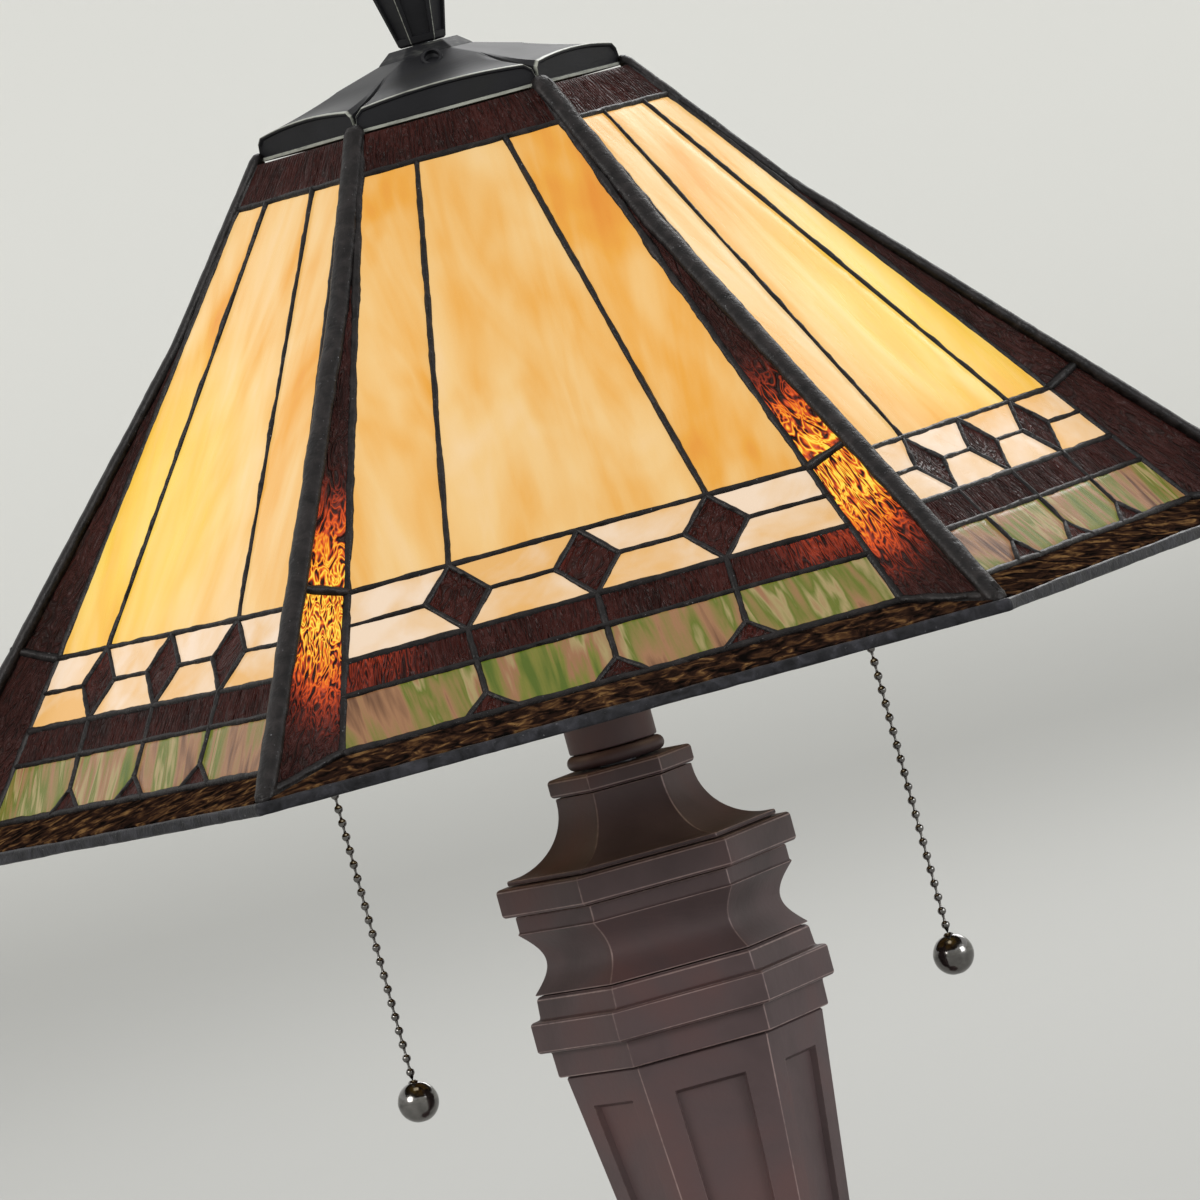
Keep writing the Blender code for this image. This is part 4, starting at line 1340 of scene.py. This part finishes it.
def add_pull(side, label):
    """The sprung link, the ball chain and its knob."""
    at = (side * CHAIN_X, CHAIN_Y)
    bell = [(0.0, 83.7), (1.3, 83.7), (1.5, 83.2), (1.5, 82.3), (2.1, 81.0), (2.3, 79.8), (2.3, 77.6),
            (2.0, 77.2), (0.0, 77.2)]
    link = round_piece(f"pull_bell_{label}", bell, "nickel", at, steps=24, edge=0.2)
    chain = add_chain(f"ball_chain_{label}", at, CHAIN_TOP, CHAIN_FOOT)
    arc = np.radians(np.linspace(66.0, -74.0, 22))
    ball = [(KNOB_RADIUS * math.cos(a), KNOB_UP + KNOB_RADIUS * math.sin(a)) for a in arc]
    neck = [(0.0, KNOB_UP + 6.3), (0.9, KNOB_UP + 6.3), (1.35, KNOB_UP + 5.9), (1.5, KNOB_UP + 5.5)]
    eye = [(1.3, KNOB_UP - 5.2), (1.2, KNOB_UP - 3.6), (0.0, KNOB_UP - 3.4)]
    knob = round_piece(f"pull_knob_{label}", neck + ball + eye, "nickel", at, steps=40, edge=0.0)
    return link, chain, knob


def add_chain(name, at, high, low):
    """Hollow beads on wire: the radius is the larger of the wire's and a bead's, sqrt(R^2 - d^2)."""
    bead_radius, pitch, wire = 1.24, 4.0, 0.3
    count = int((high - low) / pitch)
    first = high - ((high - low) - (count - 1) * pitch) / 2
    offsets = np.array([-1.98, -1.14, -1.02, -0.8, -0.45, 0.0, 0.45, 0.8, 1.02, 1.14])
    levels = (first - pitch * np.arange(count)[:, None] - offsets[None]).ravel()
    away = np.tile(np.abs(offsets), count)
    radius = np.maximum(wire, np.sqrt(np.clip(bead_radius ** 2 - away ** 2, 0.0, None)))
    levels = np.concatenate([[high], levels[1:-1], [low]])
    radius = np.concatenate([[0.0], radius[1:-1], [0.0]])
    order = np.argsort(-levels, kind="stable")
    profile = list(zip(radius[order], levels[order]))
    return round_piece(name, profile, "nickel", at, steps=12, edge=0.0)


def add_tube(name, points, radius, material):
    """A smooth round bar along a line of points."""
    shell = Shell()
    path = np.array(points, float)
    path[:, 2] += RIM_Z
    bead(shell, path, (0.0, 1.0, 0.02), radius, radius, 1, wander=0.0, sides=20, spacing=1.2)
    return shell.build(name, material, 50.0)


def bend(start, corner, radius, steps=9):
    """Points of a quarter bend in the upright plane, from level to straight down."""
    angle = np.linspace(math.pi / 2, 0.0, steps)
    return [(corner - radius + radius * math.cos(a), start - radius + radius * math.sin(a)) for a in angle]


# ---------------------------------------------------------------- operators

class LampOperator:
    """Shared by every step: build() makes the pieces, and any error stops the script."""
    bl_options = {"REGISTER", "UNDO"}

    def execute(self, context):
        self.build()
        return {"FINISHED"}


def settle(piece, body, slot, *nodes):
    """Ties a piece to its body in place of the frame's nodes, which it hides; the slot is not used."""
    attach(piece, body)
    if nodes:
        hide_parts(*nodes)
    return piece


class LAMP_OT_camera(LampOperator, bpy.types.Operator):
    """Places the camera low in front, rolled about its own axis"""
    bl_idname = "lamp.camera"
    bl_label = "Camera"

    def build(self):
        azimuth, elevation, roll = math.radians(-2.7115), math.radians(2.1124), math.radians(15.2153)
        target = Vector((6.908, 0.0, RIM_Z + 24.49)) * MM
        back = Vector((math.sin(azimuth) * math.cos(elevation), -math.cos(azimuth) * math.cos(elevation),
                       math.sin(elevation)))
        right = Vector((math.cos(azimuth), math.sin(azimuth), 0.0))
        up = right.cross(-back)
        across = right * math.cos(roll) - up * math.sin(roll)
        upward = right * math.sin(roll) + up * math.cos(roll)
        data = bpy.data.cameras.new("camera")
        data.sensor_width = 36.0
        data.lens = 323.83
        data.clip_end = 100.0
        camera = add_object("camera", data)
        turn = Matrix((across, upward, back)).transposed().to_4x4()
        camera.matrix_world = Matrix.Translation(target + back * CAMERA_DISTANCE) @ turn
        bpy.context.scene.camera = camera


class LAMP_OT_chains(LampOperator, bpy.types.Operator):
    """Makes both pull chains with their links and knobs"""
    bl_idname = "lamp.chains"
    bl_label = "Pull chains"

    def build(self):
        for side, label in SIDES:
            link, chain, knob = add_pull(side, label)
            settle(link, f"pull_{label}", "dark_nickel", f"pull_link_{label}")
            settle(chain, f"chain_{label}", "dark_nickel", f"pull_chain_{label}")
            settle(knob, f"chain_{label}", "dark_nickel", f"chain_knob_{label}")
            levels = np.linspace(CHAIN_TOP, CHAIN_FOOT, 43)
            path = [(side * CHAIN_X * MM, CHAIN_Y * MM, (RIM_Z + level) * MM) for level in levels]
            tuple(path[0])


class LAMP_OT_panels(LampOperator, bpy.types.Operator):
    """Cuts the glass of the six flat panels and leads it"""
    bl_idname = "lamp.panels"
    bl_label = "Panels"

    def build(self):
        for number, label in enumerate(FACES):
            for piece, slot in add_panel_glass(label, number):
                settle(piece, "shade", slot, f"panel_{label}")
            settle(add_panel_leads(label, number), "shade", "leaded_rim", f"panel_{label}")


class LAMP_OT_corners(LampOperator, bpy.types.Operator):
    """Makes the folded glass corners and their soldered ridges"""
    bl_idname = "lamp.corners"
    bl_label = "Corners"

    def build(self):
        for number, label in enumerate(CORNERS):
            glass, leads = add_hip(label, number)
            settle(glass, "shade", "amber_glass", f"hip_{label}")
            settle(leads, "shade", "leaded_rim", f"hip_{label}")


class LAMP_OT_rim(LampOperator, bpy.types.Operator):
    """Makes the speckled border and the metal rim"""
    bl_idname = "lamp.rim"
    bl_label = "Border and rim"

    def build(self):
        for number, label in enumerate(FACES):
            settle(add_border(label, number), "shade", "brown_glass", f"border_{label}")
        settle(add_rim(), "shade", "leaded_rim", "rim_channel")


class LAMP_OT_cap(LampOperator, bpy.types.Operator):
    """Makes the cap with its arched lobes, and the finial"""
    bl_idname = "lamp.cap"
    bl_label = "Cap and finial"

    def build(self):
        settle(add_cap_roof(), "shade", "blackened_bronze", "shade_cap")
        settle(add_cap_vent(), "shade", "blackened_bronze", "shade_cap")
        low, high = 185.6, 219.0
        spike = recessed_taper("finial_taper", 6.7, 14.6, low, high, 0.13, 2.2, 0.9, 0.5, "black")
        settle(spike, "finial", "blackened_bronze", "finial")
        top = high + 0.3
        crown = [(0.0, top + 14), (2.2, top + 13), (13.4, top + 5), (14.6, top + 4.4), (16.4, top + 3.6),
                 (16.4, top + 0.6), (15.6, top), (0.0, top)]
        settle(hexagonal_piece("finial_head", crown, 0.6, 0.5, "black"), "finial", "blackened_bronze",
               "finial_crown")


class LAMP_OT_column(LampOperator, bpy.types.Operator):
    """Makes the stepped foot, the tapering shaft, the capital and the neck"""
    bl_idname = "lamp.column"
    bl_label = "Column"

    def build(self):
        for name, outline in self.mouldings().items():
            settle(hexagonal_piece(f"{name}_bronze", outline), "stand", "russet_bronze", name)
        shaft = recessed_taper("shaft_bronze", 15.6, 36.8, 90.3 - RIM_Z, -100.5, 0.215, 9.0, 1.8, 0.8,
                               "bronze")
        settle(shaft, "stand", "russet_bronze", "shaft")
        arc = np.radians(np.linspace(90.0, -90.0, 9))
        bulge = [(11.8 + 2.1 * math.cos(a), -17.4 + 2.1 * math.sin(a)) for a in arc]
        collar = round_piece("neck_collar_bronze", bulge + [(6.0, -19.5), (6.0, -15.3)], "bronze", edge=0.0)
        settle(collar, "stand", "russet_bronze", "neck_collar")
        tube = round_piece("neck_tube_bronze", [(12.5, 107.7), (12.5, -15.0), (11.0, -15.0), (11.0, 107.7)],
                           "bronze", edge=0.6)
        settle(tube, "stand", "russet_bronze", "neck_tube")

    @staticmethod
    def mouldings():
        """Outlines of (corner radius, height above the rim) for each hexagonal moulding."""
        def floor(points):
            return [(radius, z - RIM_Z) for radius, z in points]

        def bored(points):
            return points + [(BORE_RADIUS, points[-1][1]), (BORE_RADIUS, points[0][1])]

        cove = [(39.5 - 5.8 * math.sin(math.pi * i / 14), -59.0 - 17.6 * i / 14) for i in range(15)]
        crown = sweep(38.6, -43.9, 19.6, -26.5, 14)
        dome = sweep(74.0, 36.0, 23.0, 76.0, 18)
        inner = sweep(69.0, 33.5, 20.0, 71.0, 8)[::-1]
        return {
            "base_foot": floor([(90, 20), (91.2, 19.6), (93.4, 17.9), (94, 17), (94, 3.9), (88, 3.9), (88,
                                                                                                       15),
                                (72, 15), (72, 20)]),
            "base_step": floor([(84, 31), (86, 29), (86, 20.3), (70, 20.3), (70, 31)]),
            "base_sweep": floor([(23, 78)] + dome + [(74, 31.3), (69, 31.3)] + inner
                                + [(BORE_RADIUS, 71), (BORE_RADIUS, 78)]),
            "base_collar": floor(bored([(21, 90), (22, 89), (22, 85), (26, 85), (27, 84), (27, 79.3),
                                        (26, 78.3)])),
            "capital_ledge": bored([(38.4, -77), (39.2, -77.8), (39.6, -83.2), (42.1, -83.6), (42.7, -84.2),
                                    (42.7, -91.8), (42.1, -92.4), (39, -92.7), (38.8, -100.2)]),
            "capital_cove": bored([(38.9, -54), (38.9, -58.5)] + cove),
            "capital_plate": bored([(41.6, -45.6), (42.3, -46.3), (42.3, -53), (41.6, -53.7)]),
            "capital_sweep": bored([(19.6, -25.5)] + crown + [(38.6, -45.3)]),
            "neck_plate": bored([(20, -20.1), (20.7, -20.8), (20.7, -24.5), (20, -25.2)]),
        }


class LAMP_OT_lights(LampOperator, bpy.types.Operator):
    """Makes the bulbs, sockets, arms and hub, and finishes the fittings that keep their plain shape"""
    bl_idname = "lamp.lights"
    bl_label = "Lights"

    def build(self):
        hang = (("bulb_glass", "bulb_", "bulb_glass"), ("bulb_cap", "bulb_", "bulb_cap"),
                ("socket_cap", "stand", "socket_metal"), ("socket_shell", "stand", "socket_metal"))
        middle, offset = glow().bulb_x, CHAIN_X - glow().bulb_x
        for side, label in SIDES:
            made = add_light(side, label)
            for node, body, slot in hang:
                settle(made[node], body + label if body.endswith("_") else body, slot, f"{node}_{label}")
            arm = [(17.6, ARM_UP)] + bend(ARM_UP, middle, 11.5) + [(middle, 112.4)]
            arm = add_tube(f"arm_bar_{label}", [(side * x, 0.0, up) for x, up in arm], 4.4, "brass")
            settle(arm, "stand", "brass", f"arm_{label}")
            reach = math.hypot(offset, CHAIN_Y)
            line = [(17.6, SPOUT_UP)] + bend(SPOUT_UP, reach, 6.0) + [(reach, 84.2)]
            points = [(side * (middle + offset / reach * d), CHAIN_Y / reach * d, up) for d, up in line]
            guide = add_tube(f"chain_spout_{label}", points, 2.3, "brass")
            settle(guide, "stand", "brass", f"chain_guide_{label}")
        hub = [(0.0, 134.0), (8.0, 134.0), (10.5, 133.2), (12.0, 131.5), (15.5, 130.0), (17.0, 128.6),
               (17.0, 113.4), (15.5, 112.0), (13.2, 110.4), (13.0, 108.0), (0.0, 108.0)]
        settle(round_piece("cluster_body", hub, "brass", edge=0.6), "stand", "brass", "cluster_hub")
        keep = {"lamp_rod": "steel", "shade_seat": "steel", "base_cover": "steel", "base_nut": "steel",
                "base_weight": "iron", "cord_bushing": "nickel", "felt_pad": "felt"}
        for name, material in keep.items():
            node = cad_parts[name]
            node.data.materials.clear()
            node.data.materials.append(finish(material))


class LAMP_OT_stage(LampOperator, bpy.types.Operator):
    """Makes the pale studio bowl, the soft lights and the world"""
    bl_idname = "lamp.stage"
    bl_label = "Stage"

    def build(self):
        self.make_bowl()
        self.make_world()
        for name, place, aim, size, power, colour in (
                ("key", (-3.4, -3.0, 2.6), (0, 0, 0.35), 2.2, 150.0, (1.0, 0.98, 0.95)),
                ("fill", (3.6, -2.2, 1.4), (0, 0, 0.35), 2.0, 85.0, (0.96, 0.98, 1.0)),
                ("rim", (1.2, 3.4, 2.8), (0, 0, 0.5), 2.4, 80.0, (1.0, 1.0, 1.0))):
            data = bpy.data.lights.new(name, "AREA")
            data.size = size
            data.energy = power
            data.color = colour
            light = add_object(name, data)
            light.location = place
            light.rotation_euler = (Vector(aim) - Vector(place)).to_track_quat("-Z", "Y").to_euler()

    @staticmethod
    def make_bowl():
        """A surface of revolution: flat to 9 m out, then a quarter circle up to 5 m high."""
        arc = np.radians(np.linspace(0.0, 88.0, 14))
        radius = np.concatenate([[0.0, 1.0, 3.0, 6.0], 9.0 + 5.0 * np.sin(arc)])
        height = np.concatenate([np.zeros(4), 5.0 * (1.0 - np.cos(arc))])
        column = np.arange(BOWL_STEPS)
        angle = column / BOWL_STEPS * TAU
        points = np.stack([radius[1:, None] * np.cos(angle), radius[1:, None] * np.sin(angle),
                           np.repeat(height[1:, None], BOWL_STEPS, 1)], -1).reshape(-1, 3)
        fan = np.stack([np.full(BOWL_STEPS, len(points)), column, (column + 1) % BOWL_STEPS], -1)
        quads = grid_quads(len(radius) - 1, BOWL_STEPS, flip=True)
        mesh = bpy.data.meshes.new("studio_bowl")
        points = np.concatenate([points, [[0.0, 0.0, 0.0]]])
        mesh.from_pydata(points.tolist(), [], quads.tolist() + fan.tolist())
        mesh.polygons.foreach_set("use_smooth", np.ones(len(mesh.polygons), dtype=bool))
        material, graph = new_material("studio_floor")
        place = graph.place()
        x, _, z = graph.axes(place)
        # Painted shade: the floor is darker near the lamp and towards -x, lighter far out and up the bowl's
        # wall.
        light = graph.step(graph.length(place) + x * 0.5 + z * 2.0, 2.0, 13.5)
        colour = graph.mix(light, shaded(paint("floor"), 0.42), paint("floor"))
        mottle = graph.noise(place, 3.0)
        graph.surface(base_color=colour, roughness=0.85 + mottle * 0.1)
        mesh.materials.append(material)
        add_object("studio_bowl", mesh)

    @staticmethod
    def make_world():
        world = bpy.data.worlds.new("studio")
        world.use_nodes = True
        graph = Graph(world.node_tree)
        back = graph.node("ShaderNodeBackground", None, {"Color": (1.0, 1.0, 0.985), "Strength": 0.9})
        graph.node("ShaderNodeOutputWorld", None, {"Surface": back})
        bpy.context.scene.world = world


class LAMP_PT_panel(bpy.types.Panel):
    """Lists the steps and settings"""
    bl_idname = "LAMP_PT_panel"
    bl_label = "Stained Glass Lamp"
    bl_space_type = "VIEW_3D"
    bl_region_type = "UI"
    bl_category = "Lamp"

    def draw(self, context):
        layout = self.layout
        for step in STEPS:
            layout.operator(step.bl_idname)
        for group in (context.scene.lamp_shade, context.scene.lamp_glow, context.scene.lamp_colours):
            box = layout.box()
            for name in group.__class__.__annotations__:
                box.prop(group, name)


STEPS = (LAMP_OT_camera, LAMP_OT_chains, LAMP_OT_panels, LAMP_OT_corners, LAMP_OT_rim, LAMP_OT_cap,
         LAMP_OT_column, LAMP_OT_lights, LAMP_OT_stage)
CLASSES = (LampShadeSettings, LampGlowSettings, LampColourSettings, *STEPS, LAMP_PT_panel)


def register():
    for one in CLASSES:
        bpy.utils.register_class(one)
    bpy.types.Scene.lamp_shade = bpy.props.PointerProperty(type=LampShadeSettings)
    bpy.types.Scene.lamp_glow = bpy.props.PointerProperty(type=LampGlowSettings)
    bpy.types.Scene.lamp_colours = bpy.props.PointerProperty(type=LampColourSettings)


def unregister():
    del bpy.types.Scene.lamp_shade
    del bpy.types.Scene.lamp_glow
    del bpy.types.Scene.lamp_colours
    for one in reversed(CLASSES):
        bpy.utils.unregister_class(one)


def main():
    register()
    bpy.context.scene.view_settings.view_transform = "Standard"
    for step in STEPS:
        group, name = step.bl_idname.split(".")
        getattr(getattr(bpy.ops, group), name)()


if __name__ == "__main__":
    main()
